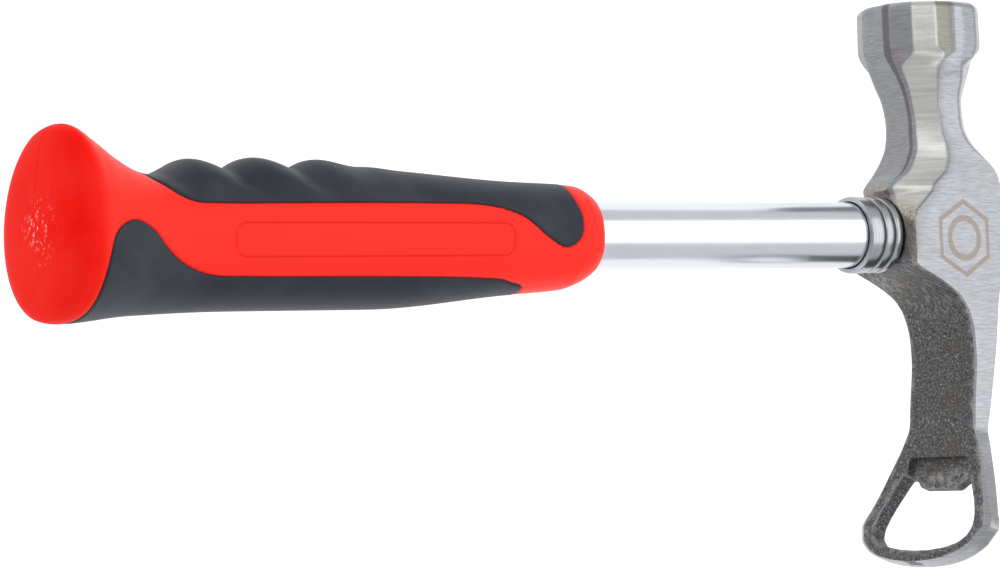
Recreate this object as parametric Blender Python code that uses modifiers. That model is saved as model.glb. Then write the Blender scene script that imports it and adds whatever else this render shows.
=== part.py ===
"""A striking hammer with a bottle-opener loop where the claw would be, on a steel tube handle.

The hammer lies on its side. X runs along the handle from the pommel to the head, Y runs from the
opener loop to the striking face, and Z is across the head. Lengths below are in millimetres in a
frame whose X axis is the handle's own axis; an empty places that frame in the world.
"""

import math

import bmesh
import bpy
import numpy as np

MM = 0.001

# Placing: the box of the whole hammer is centred on the origin and stands on z = 0.
AXIS_X = -3.0
AXIS_Y = 14.0
AXIS_Z = 27.0

# Pieces that touch are drawn this far apart.
GAP = 0.3

# Handle tube
TUBE_RADIUS = 9.0
TUBE_WALL = 1.2
TUBE_START = -133.0
TUBE_END = 147.0
EYE_HALF_Y = 10.3
EYE_HALF_Z = 7.5
EYE_ROUND_TO = 118.5
EYE_OVAL_FROM = 128.0

# Grip
GRIP_END = -142.2
GRIP_FRONT = 13.8
PAD_DEPTH = 3.0
SIDE_ROUNDNESS = 2.3

# Collar between the grip tube and the head
COLLAR_START = 102.0
COLLAR_END = 112.6
COLLAR_RADIUS = 10.5
COLLAR_GROOVE = 0.55

# Head: profiles below run along y and give x from the poll axis
POLL_AXIS = 130.5
FACE_Y = 64.0
FACE_CHAMFER = 1.4
LOOP_HALF_WIDTH = 27.0
LOOP_TIP_Y = -90.0
TONGUE_STEP_Y = -62.1
TONGUE_EDGE_Y = -70.8
TONGUE_HALF_WIDTH = 11.8
TONGUE_RECESS = 1.7
HOLE_TAPER = 0.9


# ---------------------------------------------------------------- shaping helpers


def profile(*points):
    """A smooth curve through (position, value) points that never overshoots between two of them."""
    places, values = np.array(sorted(points), float).T
    steps = np.diff(places)
    slopes = np.diff(values) / steps
    before, after = slopes[:-1], slopes[1:]
    inner = np.where(before * after > 0, 2 * before * after / (before + after + 1e-12), 0.0)
    tangents = np.concatenate([[slopes[0]], inner, [slopes[-1]]])

    def value_at(place):
        at = np.clip(place, places[0], places[-1])
        i = int(np.clip(np.searchsorted(places, at) - 1, 0, len(steps) - 1))
        t = (at - places[i]) / steps[i]
        return float(
            (1 + 2 * t) * (1 - t) ** 2 * values[i]
            + t * (1 - t) ** 2 * steps[i] * tangents[i]
            + t**2 * (3 - 2 * t) * values[i + 1]
            - t**2 * (1 - t) * steps[i] * tangents[i + 1]
        )

    return value_at


def rounded(points, samples=6):
    """Points of a smooth closed line through the given corners (Catmull-Rom)."""
    corners = np.array(points, float)
    line = []
    for i in range(len(corners)):
        p0, p1, p2, p3 = (corners[(i + k) % len(corners)] for k in (-1, 0, 1, 2))
        for t in np.arange(samples) / samples:
            line.append(
                0.5 * (2 * p1 + (p2 - p0) * t + (2 * p0 - 5 * p1 + 4 * p2 - p3) * t**2
                       + (3 * p1 - p0 - 3 * p2 + p3) * t**3)
            )
    return np.array(line)


def inset(line, distance):
    """A closed line moved inwards by the distance. The line runs anticlockwise."""
    along = np.roll(line, -1, axis=0) - np.roll(line, 1, axis=0)
    along /= np.linalg.norm(along, axis=1, keepdims=True)
    return line + distance * np.stack([-along[:, 1], along[:, 0]], axis=1)


def add_object(name, mesh, collection, material=None):
    obj = bpy.data.objects.new(name, mesh)
    collection.objects.link(obj)
    obj.parent = axis_frame
    if material:
        mesh.materials.append(material)
    return obj


def loft(name, rings, collection, material=None, capped=True):
    """A skin over rings of points in millimetres, closed by a flat face at each end if capped."""
    bm = bmesh.new()
    loops = [[bm.verts.new([c * MM for c in point]) for point in ring] for ring in rings]
    for first, second in zip(loops, loops[1:]):
        for i in range(len(first)):
            j = (i + 1) % len(first)
            bm.faces.new((first[i], first[j], second[j], second[i]))
    if capped:
        bm.faces.new(loops[0])
        bm.faces.new(loops[-1])
    bmesh.ops.recalc_face_normals(bm, faces=bm.faces)
    mesh = bpy.data.meshes.new(name)
    bm.to_mesh(mesh)
    bm.free()
    return add_object(name, mesh, collection, material)


def prism(name, outline, collection):
    """A cutter: a closed (x, y) outline pushed through the hammer's whole width."""
    rings = [[(x, y, z) for x, y in outline] for z in (-40.0, 40.0)]
    return loft(name, rings, collection)


def boolean(obj, operation, other):
    modifier = obj.modifiers.new(f"{operation.lower()}_{other.name}", "BOOLEAN")
    modifier.operation = operation
    modifier.object = other
    other.hide_render = True
    other.display_type = "WIRE"


def smooth_shading(obj, degrees=35):
    obj.data.shade_smooth()
    obj.data.set_sharp_from_angle(angle=math.radians(degrees))


def material(name, colour, metallic, roughness):
    made = bpy.data.materials.new(name)
    made.use_nodes = True
    shader = made.node_tree.nodes["Principled BSDF"]
    shader.inputs["Base Color"].default_value = (*colour, 1.0)
    shader.inputs["Metallic"].default_value = metallic
    shader.inputs["Roughness"].default_value = roughness
    return made


def ellipse(x, half_y, half_z, sides):
    angles = [2 * math.pi * i / sides for i in range(sides)]
    return [(x, half_y * math.cos(a), half_z * math.sin(a)) for a in angles]


# ---------------------------------------------------------------- grip

# Height above and below the handle axis, and half width, along x
GRIP_TOP = profile(
    (GRIP_END, 1.0), (-141.6, 6.0), (-140.9, 12.0), (-140.0, 18.5), (-138.8, 23.2), (-137.2, 25.6),
    (-134.8, 26.4), (-130.5, 24.1), (-124.0, 19.4), (-117.8, 16.0), (-113.5, 14.9), (-108.0, 16.4),
    (-98.0, 17.5), (-62.0, 17.8), (-41.0, 16.2), (-12.0, 13.9), (4.5, 13.2), (8.5, 12.8), (11.3, 11.7),
    (GRIP_FRONT, 9.9),
)
GRIP_BOTTOM = profile(
    (GRIP_END, 9.0), (-141.6, 14.8), (-140.9, 17.8), (-140.0, 19.3), (-138.8, 20.1), (-136.5, 20.5),
    (-117.5, 18.8), (-92.0, 18.1), (-51.5, 18.2), (-12.0, 15.2), (4.0, 14.2), (8.5, 13.0), (11.3, 11.7),
    (GRIP_FRONT, 9.9),
)
GRIP_WIDTH = profile(
    (GRIP_END, 7.0), (-141.6, 13.5), (-140.9, 17.5), (-140.0, 20.2), (-138.8, 22.0), (-137.2, 23.0),
    (-134.5, 23.2), (-130.0, 21.7), (-124.0, 18.9), (-117.0, 16.8), (-108.0, 15.7), (-90.0, 15.3),
    (-40.0, 15.0), (4.0, 14.1), (8.5, 13.0), (11.3, 11.7), (GRIP_FRONT, 9.9),
)
# Finger bumps along the top: one pitch from crest to crest, as deep as each profile point says
FINGER_CREST = -84.2
FINGER_PITCH = 18.5
FINGER_DEPTH = profile(
    (-114.0, 0.0), (-106.0, 1.1), (-102.0, 1.5), (-92.0, 1.3), (-60.0, 0.9), (-44.0, 0.0)
)


def grip_ring(x, depth, sides=24):
    """Points round the grip at x, the given depth under its surface."""
    bump = FINGER_DEPTH(x) * math.cos(2 * math.pi * (x - FINGER_CREST) / FINGER_PITCH)
    ring = []
    for i in range(sides):
        angle = 2 * math.pi * i / sides
        up, out = math.cos(angle), math.sin(angle)
        half_y = (GRIP_TOP(x) + bump * max(up, 0.0) if up > 0 else GRIP_BOTTOM(x)) - depth
        half_z = GRIP_WIDTH(x) - depth
        power = 2 / SIDE_ROUNDNESS
        ring.append(
            (x, math.copysign(abs(up) ** power * half_y, up), math.copysign(abs(out) ** power * half_z, out))
        )
    return ring


def grip_body(name, start, end, depth, collection, material=None):
    """The whole outer form of the grip between two stations, the given depth under its surface."""
    domed = [-141.6, -140.9, -140.0, -138.8, -137.2, -134.8]
    run = list(np.arange(-132.15, 8.0, 3.7)) + [9.5, 11.3, 12.8]
    stations = [start] + [x for x in domed + run if start + 0.3 < x < end - 0.3] + [end]
    return loft(name, [grip_ring(x, depth) for x in stations], collection, material)


# Outlines seen from the side, anticlockwise. Each pad runs round from one side to the other.
UPPER_PAD = rounded([
    (-112.9, 11.4), (-107.4, 7.6), (-99.0, 6.9), (-70.0, 7.1), (-39.0, 7.2), (-24.0, 6.7),
    (-14.0, 4.0), (-6.8, -1.2), (-1.0, -4.0), (3.6, -1.6), (4.7, 3.5), (3.6, 9.5), (4.4, 16.0),
    (0.0, 34.0), (-60.0, 36.0), (-112.0, 32.0), (-117.0, 17.5),
])
LOWER_PAD = rounded([
    (-133.6, -19.0), (-133.4, -34.0), (-60.0, -36.0), (-10.0, -34.0), (-7.6, -16.0), (-15.0, -12.7),
    (-26.0, -11.6), (-53.0, -11.1), (-90.0, -10.8), (-101.0, -10.2), (-110.0, -6.8), (-117.5, -1.2),
    (-124.6, 2.3), (-130.6, -0.7), (-132.8, -8.4),
])


def build_grip(parts, cutters, red, grey):
    core = grip_body("grip_core", GRIP_END, GRIP_FRONT, 0.0, parts, red)
    under_pads = grip_body("core_under_pads", -136.0, 8.0, PAD_DEPTH, cutters)
    clear_of_core = grip_body("clear_of_core", -137.0, 9.0, PAD_DEPTH - GAP, cutters)
    bore = loft(
        "tube_bore",
        [ellipse(x, TUBE_RADIUS + GAP, TUBE_RADIUS + GAP, 32) for x in (TUBE_START - 1.8, 30.0)],
        cutters,
    )
    outlines = {"upper_grip_pad": UPPER_PAD, "lower_grip_pad": LOWER_PAD}
    for name, outline in outlines.items():
        boolean(core, "DIFFERENCE", prism(f"{name}_pocket", outline, cutters))
        pad = grip_body(name, -136.5, 8.5, 0.0, parts, grey)
        boolean(pad, "INTERSECT", prism(f"{name}_outline", inset(outline, GAP), cutters))
        boolean(pad, "DIFFERENCE", clear_of_core)
        smooth_shading(pad)
    boolean(core, "UNION", under_pads)
    boolean(core, "DIFFERENCE", bore)
    smooth_shading(core)


# ---------------------------------------------------------------- handle tube and what it holds


def eye_section(x, offset, sides=32):
    """The tube's outline at x: round as far as the head, pressed oval inside the eye."""
    t = min(max((x - EYE_ROUND_TO) / (EYE_OVAL_FROM - EYE_ROUND_TO), 0.0), 1.0)
    t = t * t * (3 - 2 * t)
    half_y = TUBE_RADIUS + t * (EYE_HALF_Y - TUBE_RADIUS) + offset
    half_z = TUBE_RADIUS + t * (EYE_HALF_Z - TUBE_RADIUS) + offset
    return ellipse(x, half_y, half_z, sides)


def build_tube(parts, chrome, steel, wood, plastic):
    stations = [TUBE_START, 0.0, *np.linspace(EYE_ROUND_TO, EYE_OVAL_FROM, 7), TUBE_END]
    tube = loft("handle_tube", [eye_section(x, 0.0) for x in stations], parts, chrome, capped=False)
    wall = tube.modifiers.new("wall", "SOLIDIFY")
    wall.thickness = TUBE_WALL * MM
    wall.offset = -1.0
    smooth_shading(tube)

    inside = -TUBE_WALL - GAP
    plug = loft(
        "eye_plug",
        [eye_section(136.0, inside - 0.8), eye_section(137.5, inside), eye_section(TUBE_END, inside)],
        parts,
        steel,
    )
    smooth_shading(plug)

    dowel = [(x, TUBE_RADIUS + inside - cut) for x, cut in ((62.0, 1.0), (63.0, 0.0), (116.0, 0.0), (117.0, 1.0))]
    smooth_shading(loft("core_dowel", [ellipse(x, r, r, 32) for x, r in dowel], parts, wood))

    stem = TUBE_RADIUS + inside
    cap_profile = (
        (TUBE_START - 1.5, TUBE_RADIUS - 0.8), (TUBE_START - GAP, TUBE_RADIUS - 0.4),
        (TUBE_START - GAP, stem), (TUBE_START + 11.0, stem), (TUBE_START + 12.0, stem - 1.0),
    )
    smooth_shading(loft("tube_end_plug", [ellipse(x, r, r, 32) for x, r in cap_profile], parts, plastic))


def build_collar(parts, steel):
    """A turned ring: one broad band and two narrow ribs, with a lip towards the grip."""
    inner = TUBE_RADIUS + GAP
    outer = COLLAR_RADIUS
    low = outer - COLLAR_GROOVE
    outline = [
        (COLLAR_START, inner), (COLLAR_START, outer - 0.5), (COLLAR_START + 0.5, outer),
        (106.4, outer), (106.8, low), (107.2, low), (107.7, outer - 0.1),
        (110.1, outer - 0.1), (110.5, low), (110.9, low), (111.4, outer - 0.1),
        (COLLAR_END - 0.4, outer - 0.1), (COLLAR_END, outer - 0.5), (COLLAR_END, inner),
    ]
    mesh = bpy.data.meshes.new("ribbed_collar")
    count = len(outline)
    mesh.from_pydata(
        [(x * MM, r * MM, 0.0) for x, r in outline], [(i, (i + 1) % count) for i in range(count)], []
    )
    collar = add_object("ribbed_collar", mesh, parts, steel)
    turned = collar.modifiers.new("turned", "SCREW")
    turned.axis = "X"
    turned.steps = turned.render_steps = 36
    turned.use_merge_vertices = True
    turned.merge_threshold = 0.00001
    turned.use_normal_flip = True
    smooth_shading(collar)


# ---------------------------------------------------------------- forged head

# x from the poll axis of the side towards the handle, and of the far side, along y
INNER_SIDE = profile(
    (64.0, -15.0), (52.0, -15.1), (47.0, -13.9), (42.6, -11.9), (37.0, -9.5), (31.0, -8.5), (25.0, -8.9),
    (21.0, -10.5), (17.0, -13.4), (12.4, -18.2), (10.6, -17.5), (6.0, -17.0), (-8.0, -16.9),
    (-9.5, -15.4), (-11.5, -11.4),
    (-14.5, -5.9), (-18.0, -1.2), (-22.0, 1.4), (-28.0, 3.0), (-34.0, 3.3), (-47.0, 2.0), (-58.0, 0.9),
    (-66.0, -1.5), (-77.0, -5.7), (LOOP_TIP_Y, -12.8),
)
OUTER_SIDE = profile(
    (64.0, 14.8), (53.0, 14.9), (47.0, 13.7), (42.0, 11.7), (37.0, 10.1), (30.4, 9.6), (24.8, 11.0),
    (20.4, 14.1), (17.0, 16.6), (13.0, 17.8), (-8.0, 17.8), (-20.0, 13.8), (-33.0, 11.8), (-47.0, 8.8),
    (-58.0, 5.8), (-66.0, 3.4), (-77.0, -1.1), (LOOP_TIP_Y, -8.0),
)
INNER_WIDTH = profile(
    (64.0, 14.9), (52.0, 15.0), (47.0, 14.0), (42.0, 12.5), (35.0, 11.1), (29.0, 11.2), (22.0, 12.5),
    (16.0, 13.8), (11.0, 14.1), (-20.0, 14.0), (-33.0, 13.8), (-53.0, 13.9), (-58.0, 16.0), (-65.6, 19.6),
    (-76.0, 25.0), (-78.5, 26.5), (-80.2, LOOP_HALF_WIDTH), (-82.0, 26.3), (-84.2, 24.1), (-86.0, 21.0),
    (-87.4, 17.2), (-88.7, 12.0), (-89.5, 7.0), (LOOP_TIP_Y, 2.5),
)
BODY_TAPER = profile((49.0, 0.0), (24.0, 0.0), (14.0, 1.7), (-8.0, 1.7), (-22.0, 0.2), (-30.0, 0.0))
# How far each section's outer side drops below its inner side: the loop leans back
LEAN = profile((-40.0, 0.0), (-56.0, 0.2), (-66.0, 0.38), (-77.0, 0.42), (LOOP_TIP_Y, 0.42))
# The corner taken off each section: along x and along z, on the handle side and on the far side
INNER_CUT_X = profile(
    (64.0, 11.2), (49.0, 11.2), (42.0, 7.7), (35.0, 5.7), (28.0, 6.3), (24.0, 7.6), (20.3, 9.1),
    (14.7, 10.2), (12.4, 9.6), (9.6, 6.4), (5.8, 2.1), (2.5, 0.9), (-6.0, 0.9), (-9.5, 0.5), (-62.0, 0.5),
    (-72.0, 0.8), (-80.0, 1.1), (LOOP_TIP_Y, 1.1),
)
INNER_CUT_Z = profile(
    (64.0, 8.7), (49.0, 8.7), (42.0, 6.6), (35.0, 5.7), (28.0, 5.8), (22.0, 6.1), (17.0, 7.0),
    (12.4, 9.1), (8.0, 7.6), (2.5, 4.5), (-6.0, 2.6), (-9.5, 0.5), (-62.0, 0.5),
    (-72.0, 1.2), (-80.0, 2.0), (LOOP_TIP_Y, 1.6),
)
OUTER_CUT_X = profile((64.0, 11.2), (49.0, 11.2), (42.0, 7.7), (35.0, 6.0), (25.0, 5.0), (15.0, 1.5), (-60.0, 0.9))
OUTER_CUT_Z = profile((64.0, 8.7), (49.0, 8.7), (42.0, 7.2), (35.0, 5.7), (25.0, 4.0), (15.0, 1.5), (-60.0, 0.9))
# A corner has three facets: where the two lines between them lie along it, and how far they stand out
FIRST_SPLIT = profile((64.0, 0.36), (49.5, 0.36), (46.5, 0.13), (-90.0, 0.13))
SECOND_SPLIT = profile((64.0, 0.72), (49.5, 0.72), (46.5, 0.93), (-90.0, 0.93))
BULGE = profile((64.0, 1.8), (49.5, 1.8), (46.5, 0.35), (12.0, 0.3), (-8.0, 0.05), (-90.0, 0.05))

HEAD_STATIONS = (
    FACE_Y, FACE_Y - FACE_CHAMFER, 52.0, 49.5, 48.0, 46.5, 44.5, 42.5, 40.0, 37.5, 35.0, 32.5, 30.0, 27.5, 25.0, 22.5, 20.3, 18.5,
    17.0, 15.0, 13.6, 12.4, 11.5, 10.6, 8.0, 5.8, 4.0, 2.5, -3.0, -8.0, -9.0, -10.0, -11.2, -12.6, -14.2, -16.0,
    -18.5, -22.0, -26.0, -30.0, -35.0, -41.0, -47.0, -53.0, -55.5, -58.0, -62.0, -66.0, -71.0, -76.0,
    -78.5, -80.2, -82.0, -84.2, -86.0, -87.4, -88.7, -89.5, LOOP_TIP_Y,
)


def corner(start, end, y, outwards):
    """The four points that round one corner of a section, from one flat side to the next."""
    start, end = np.array(start), np.array(end)
    along = end - start
    away = np.array([along[1], -along[0]]) / np.linalg.norm(along)
    away = away if away @ outwards > 0 else -away
    reach = min(BULGE(y), 0.12 * np.linalg.norm(along))
    middle = [start + along * split(y) + away * reach for split in (FIRST_SPLIT, SECOND_SPLIT)]
    return [start, *middle, end]


def head_section(y):
    """Sixteen points round the head at y, in (x, y, z)."""
    edge = FACE_CHAMFER if y == FACE_Y else 0.0
    near, far = INNER_SIDE(y) + edge, OUTER_SIDE(y) - edge
    width = INNER_WIDTH(y) - edge
    far_width = width - BODY_TAPER(y)
    cut_z = min(INNER_CUT_Z(y), 0.85 * width)
    inner = corner((near, width - cut_z), (near + INNER_CUT_X(y), width), y, (-1.0, 1.0))
    far_cut = min(OUTER_CUT_Z(y), 0.85 * far_width)
    outer = corner((far - OUTER_CUT_X(y), far_width), (far, far_width - far_cut), y, (1.0, 1.0))
    half = [(x + POLL_AXIS, y - LEAN(y) * (x - near), z) for x, z in inner + outer]
    return half + [(x, down, -z) for x, down, z in reversed(half)]


def opener_outline(grow):
    """The opener's hole in (y, z), with its tongue at the top; grow widens everything but the tongue."""
    tongue = [(-68.2, -8.4), (TONGUE_EDGE_Y, -6.9), (TONGUE_EDGE_Y, 8.6), (-68.2, 10.9)]
    side = [
        (-67.4, 13.9), (-70.6, 15.9), (-74.0, 18.0), (-77.4, 19.8), (-80.4, 20.5), (-82.8, 19.7),
        (-84.8, 16.9), (-86.1, 12.0), (-86.8, 6.0),
    ]
    near = [(y + 0.04 * (y + 77.0) * grow, z + grow * min(1.0, z / 12)) for y, z in side]
    far = [(y, -z) for y, z in reversed(near)]
    return tongue + near + [(-87.0 - 0.4 * grow, 0.0)] + far


def opener_cutter(collection):
    """The hole runs square to the leaning loop and opens a little towards the handle."""
    lean = LEAN(-77.0)
    rings = []
    for reach in (-5.0, 5.0):
        middle = POLL_AXIS - 3.4 + reach
        grow = -HOLE_TAPER * reach / 2
        rings.append([
            (middle - (-77.0 - y) * lean * 0.98, y - lean * reach, z) for y, z in opener_outline(grow)
        ])
    return loft("opener_hole", rings, collection)


def recess_cutter(collection):
    """The tongue is thinner than the loop: this takes a step off its side towards the handle."""
    floor_at = [(INNER_SIDE(y) + TONGUE_RECESS, y) for y in (TONGUE_STEP_Y, -67.0, -74.0)]
    front_at = [(x - 6.0, y) for x, y in reversed(floor_at)]
    side = floor_at + front_at
    rings = [[(POLL_AXIS + x, y, z) for x, y in side] for z in (-TONGUE_HALF_WIDTH, TONGUE_HALF_WIDTH)]
    return loft("tongue_recess", rings, collection)


def build_head(parts, cutters, steel):
    head = loft("forged_head", [head_section(y) for y in HEAD_STATIONS], parts, steel)
    eye = [eye_section(x, GAP) for x in (105.0, *np.linspace(EYE_ROUND_TO, EYE_OVAL_FROM, 7), 155.0)]
    boolean(head, "DIFFERENCE", loft("eye_bore", eye, cutters))
    boolean(head, "DIFFERENCE", recess_cutter(cutters))
    boolean(head, "DIFFERENCE", opener_cutter(cutters))
    smooth_shading(head, 25)


# ---------------------------------------------------------------- assembly

for old in list(bpy.data.objects):
    bpy.data.objects.remove(old, do_unlink=True)

parts_collection = bpy.data.collections.new("opener_hammer")
cutter_collection = bpy.data.collections.new("cutters")
for made in (parts_collection, cutter_collection):
    bpy.context.scene.collection.children.link(made)
cutter_collection.hide_render = True

axis_frame = bpy.data.objects.new("handle_axis", None)
axis_frame.location = (AXIS_X * MM, AXIS_Y * MM, AXIS_Z * MM)
parts_collection.objects.link(axis_frame)

red_plastic = material("red_plastic", (1.0, 0.04, 0.03), 0.0, 0.4)
grey_rubber = material("grey_rubber", (0.05, 0.055, 0.07), 0.0, 0.7)
chrome_plate = material("chrome_plate", (0.9, 0.9, 0.92), 1.0, 0.06)
turned_steel = material("turned_steel", (0.5, 0.5, 0.52), 1.0, 0.3)
forged_steel = material("forged_steel", (0.42, 0.42, 0.44), 1.0, 0.4)
dowel_wood = material("dowel_wood", (0.55, 0.38, 0.2), 0.0, 0.6)
black_plastic = material("black_plastic", (0.03, 0.03, 0.03), 0.0, 0.5)

build_grip(parts_collection, cutter_collection, red_plastic, grey_rubber)
build_tube(parts_collection, chrome_plate, turned_steel, dowel_wood, black_plastic)
build_collar(parts_collection, turned_steel)
build_head(parts_collection, cutter_collection, forged_steel)
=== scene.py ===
"""A striking hammer with a bottle-opener loop, built up piece by piece on its CAD frame.

Shapes are worked out in millimetres from the handle's axis: x runs from the pommel to the head, y from
the opener loop to the striking face, z across the head. Each mesh is then placed in the world.
"""

import bmesh
import bpy
import math
import numpy as np
from mathutils import Matrix, Vector


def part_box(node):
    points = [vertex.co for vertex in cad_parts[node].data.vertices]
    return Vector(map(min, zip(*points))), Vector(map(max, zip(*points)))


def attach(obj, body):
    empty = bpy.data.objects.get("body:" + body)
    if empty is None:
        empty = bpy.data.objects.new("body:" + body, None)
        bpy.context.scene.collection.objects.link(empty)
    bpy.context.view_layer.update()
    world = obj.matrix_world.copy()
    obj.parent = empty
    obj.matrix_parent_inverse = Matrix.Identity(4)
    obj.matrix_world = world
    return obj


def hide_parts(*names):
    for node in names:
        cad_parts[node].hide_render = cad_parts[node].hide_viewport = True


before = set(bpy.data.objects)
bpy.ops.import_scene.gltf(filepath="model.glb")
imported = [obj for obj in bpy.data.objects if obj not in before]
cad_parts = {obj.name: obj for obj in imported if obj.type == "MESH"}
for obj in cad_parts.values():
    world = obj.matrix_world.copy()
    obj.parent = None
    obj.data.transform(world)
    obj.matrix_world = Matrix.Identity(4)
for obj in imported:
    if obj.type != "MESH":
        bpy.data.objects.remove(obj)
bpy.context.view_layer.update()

# ---------------------------------------------------------------- grip core
# The hard red shell of the grip, injection-moulded polypropylene on the steel tube. It ends in a flared
# pommel with a parting line and a gate mark, and has a sunk panel on each side. The pads lie in its pockets.

tube_low, tube_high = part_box("handle_tube")
TUBE_START = -133.0
AXIS = np.array([
    tube_low.x - TUBE_START * 0.001, (tube_low.y + tube_high.y) / 2, (tube_low.z + tube_high.z) / 2
])

GRIP_END, GRIP_FRONT = -142.2, 13.8
BORE_RADIUS, BORE_MOUTH = 9.3, 9.5
RED = (0.98, 0.030, 0.019, 1.0)
# Painted shade: the pommel's end face faces away from the light and is coloured this deeper red
RED_SHADED_END = (0.79, 0.004, 0.001, 1.0)
RED_WORN = (0.93, 0.13, 0.10, 1.0)
SCUFF = (1.0, 0.55, 0.5, 1.0)
# Painted shade for the crevices round the pads and in the panel's groove
SEAM_SHADE_RED = (0.30, 0.006, 0.004, 1.0)


def smooth_curve(*points):
    """A curve through (place, value) points: cubic Hermite spans, whose slope at a point is the harmonic
    mean of the slopes either side, or nil where the values turn, so that it never overshoots."""
    places, values = np.array(sorted(points), float).T
    steps = np.diff(places)
    slopes = np.diff(values) / steps
    before, after = slopes[:-1], slopes[1:]
    inner = np.where(before * after > 0, 2 * before * after / (before + after + 1e-12), 0.0)
    tangents = np.concatenate([[slopes[0]], inner, [slopes[-1]]])

    def value_at(place):
        at = np.clip(place, places[0], places[-1])
        i = np.clip(np.searchsorted(places, at) - 1, 0, len(steps) - 1)
        t = (at - places[i]) / steps[i]
        return (
            (1 + 2 * t) * (1 - t) ** 2 * values[i] + t * (1 - t) ** 2 * steps[i] * tangents[i]
            + t**2 * (3 - 2 * t) * values[i + 1] - t**2 * (1 - t) * steps[i] * tangents[i + 1]
        )

    return value_at


def ease(value, start, end):
    """0 before start, 1 after end, and t*t*(3 - 2t) between."""
    t = np.clip((value - start) / (end - start), 0.0, 1.0)
    return t * t * (3 - 2 * t)


GRIP_TOP = smooth_curve(
    (GRIP_END, 1.0), (-141.6, 6.0), (-140.9, 12.0), (-140.0, 18.5), (-138.8, 23.2), (-137.2, 25.6),
    (-134.8, 26.4), (-130.5, 23.9), (-124.0, 19.2), (-117.8, 15.8), (-113.5, 14.7), (-108.0, 16.1),
    (-98.0, 17.1), (-62.0, 17.5), (-41.0, 15.9), (-12.0, 13.7), (4.5, 13.1), (8.5, 12.8), (11.3, 11.7),
    (12.9, 10.7), (GRIP_FRONT, 9.8),
)
GRIP_BOTTOM = smooth_curve(
    (GRIP_END, 9.0), (-141.6, 14.8), (-140.9, 17.8), (-140.0, 19.3), (-138.8, 20.1), (-136.5, 20.5),
    (-117.5, 18.8), (-92.0, 18.1), (-51.5, 18.2), (-12.0, 15.2), (4.0, 14.2), (8.5, 13.0), (11.3, 11.7),
    (12.9, 10.7), (GRIP_FRONT, 9.8),
)
GRIP_WIDTH = smooth_curve(
    (GRIP_END, 7.0), (-141.6, 13.5), (-140.9, 17.5), (-140.0, 20.2), (-138.8, 22.0), (-137.2, 23.0),
    (-134.5, 23.2), (-130.0, 21.7), (-124.0, 18.9), (-117.0, 16.8), (-108.0, 15.7), (-90.0, 15.3),
    (-40.0, 15.0), (4.0, 14.1), (8.5, 13.0), (11.3, 11.7), (12.9, 10.7), (GRIP_FRONT, 9.8),
)
SQUARENESS = smooth_curve((-141.0, 2.1), (-128.0, 2.2), (-116.0, 2.3), (12.0, 2.3))

# Finger bumps: broad crests and narrow valleys, one pitch apart, fading towards each end
FINGER_CREST, FINGER_PITCH, FINGER_SWEEP = -84.2, 18.5, 8.5
FINGER_DEPTH = smooth_curve(
    (-114.0, 0.0), (-106.0, 1.1), (-102.0, 1.6), (-92.0, 1.6), (-74.0, 1.55), (-64.0, 1.0),
    (-56.0, 0.3), (-46.0, 0.0),
)


def grip_points(x, angle):
    """The grip's outer form: at each x a superellipse, y = half height * cos(angle)^(2/n) and
    z = half width * sin(angle)^(2/n), and in the upper part the finger bumps pushed out of it."""
    up, out = np.cos(angle), np.sin(angle)
    power = 2 / SQUARENESS(x)
    half = np.where(up > 0, GRIP_TOP(x), GRIP_BOTTOM(x))
    y = np.sign(up) * np.abs(up) ** power * half
    z = np.sign(out) * np.abs(out) ** power * GRIP_WIDTH(x)
    turns = (x - FINGER_SWEEP * (1 - np.maximum(up, 0)) - FINGER_CREST) / FINGER_PITCH
    phase = np.cos(math.pi * (turns - 0.05 * np.sin(math.pi * turns) ** 2))
    wave = 2 * (phase**2 + 0.012) ** 0.62 - 1
    push = FINGER_DEPTH(x) * wave * ease(up, 0.40, 0.74)
    return np.stack([x + 0 * y, y + push * up, z + push * out], axis=-1)


def angle_at(x, y):
    """The angle at which the grip's side stands at height y, the inverse of the superellipse above."""
    half = np.where(y > 0, GRIP_TOP(x), GRIP_BOTTOM(x))
    share = np.clip(np.abs(y) / np.maximum(half, 13.0), 0, 1) ** (SQUARENESS(x) / 2)
    return np.arccos(np.sign(y) * share)


def closed_line(corners, samples=12):
    """A smooth closed line through corners: Catmull-Rom spans, each a cubic in its share of the way."""
    p = [np.roll(np.array(corners, float), -k, axis=0)[:, None, :] for k in (-1, 0, 1, 2)]
    t = (np.arange(samples) / samples)[None, :, None]
    line = 0.5 * (
        2 * p[1] + (p[2] - p[0]) * t + (2 * p[0] - 5 * p[1] + 4 * p[2] - p[3]) * t**2
        + (3 * p[1] - p[0] - 3 * p[2] + p[3]) * t**3
    )
    return line.reshape(-1, 2)


# Corners of the pads' outlines seen from the side, which run past the grip where a pad wraps round it
UPPER_CORNERS = [
    (-112.9, 11.4), (-107.4, 7.6), (-99.0, 6.9), (-70.0, 7.1), (-39.0, 7.2), (-24.0, 6.7),
    (-14.0, 4.0), (-6.8, -1.2), (-1.0, -4.0), (3.6, -1.6), (4.7, 3.5), (3.6, 9.5), (4.4, 16.0),
    (0.0, 34.0), (-60.0, 36.0), (-112.0, 32.0), (-117.0, 17.5),
]
LOWER_CORNERS = [
    (-133.6, -19.0), (-133.4, -34.0), (-60.0, -36.0), (-11.5, -34.0), (-9.2, -16.2), (-16.0, -12.6),
    (-26.0, -11.6), (-53.0, -11.1), (-90.0, -10.8), (-102.5, -10.3), (-110.2, -7.6), (-114.9, -4.0),
    (-118.9, 0.4), (-124.6, 2.4), (-130.6, -0.7), (-132.8, -8.4),
]
UPPER_PAD, LOWER_PAD = closed_line(UPPER_CORNERS), closed_line(LOWER_CORNERS)


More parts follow.
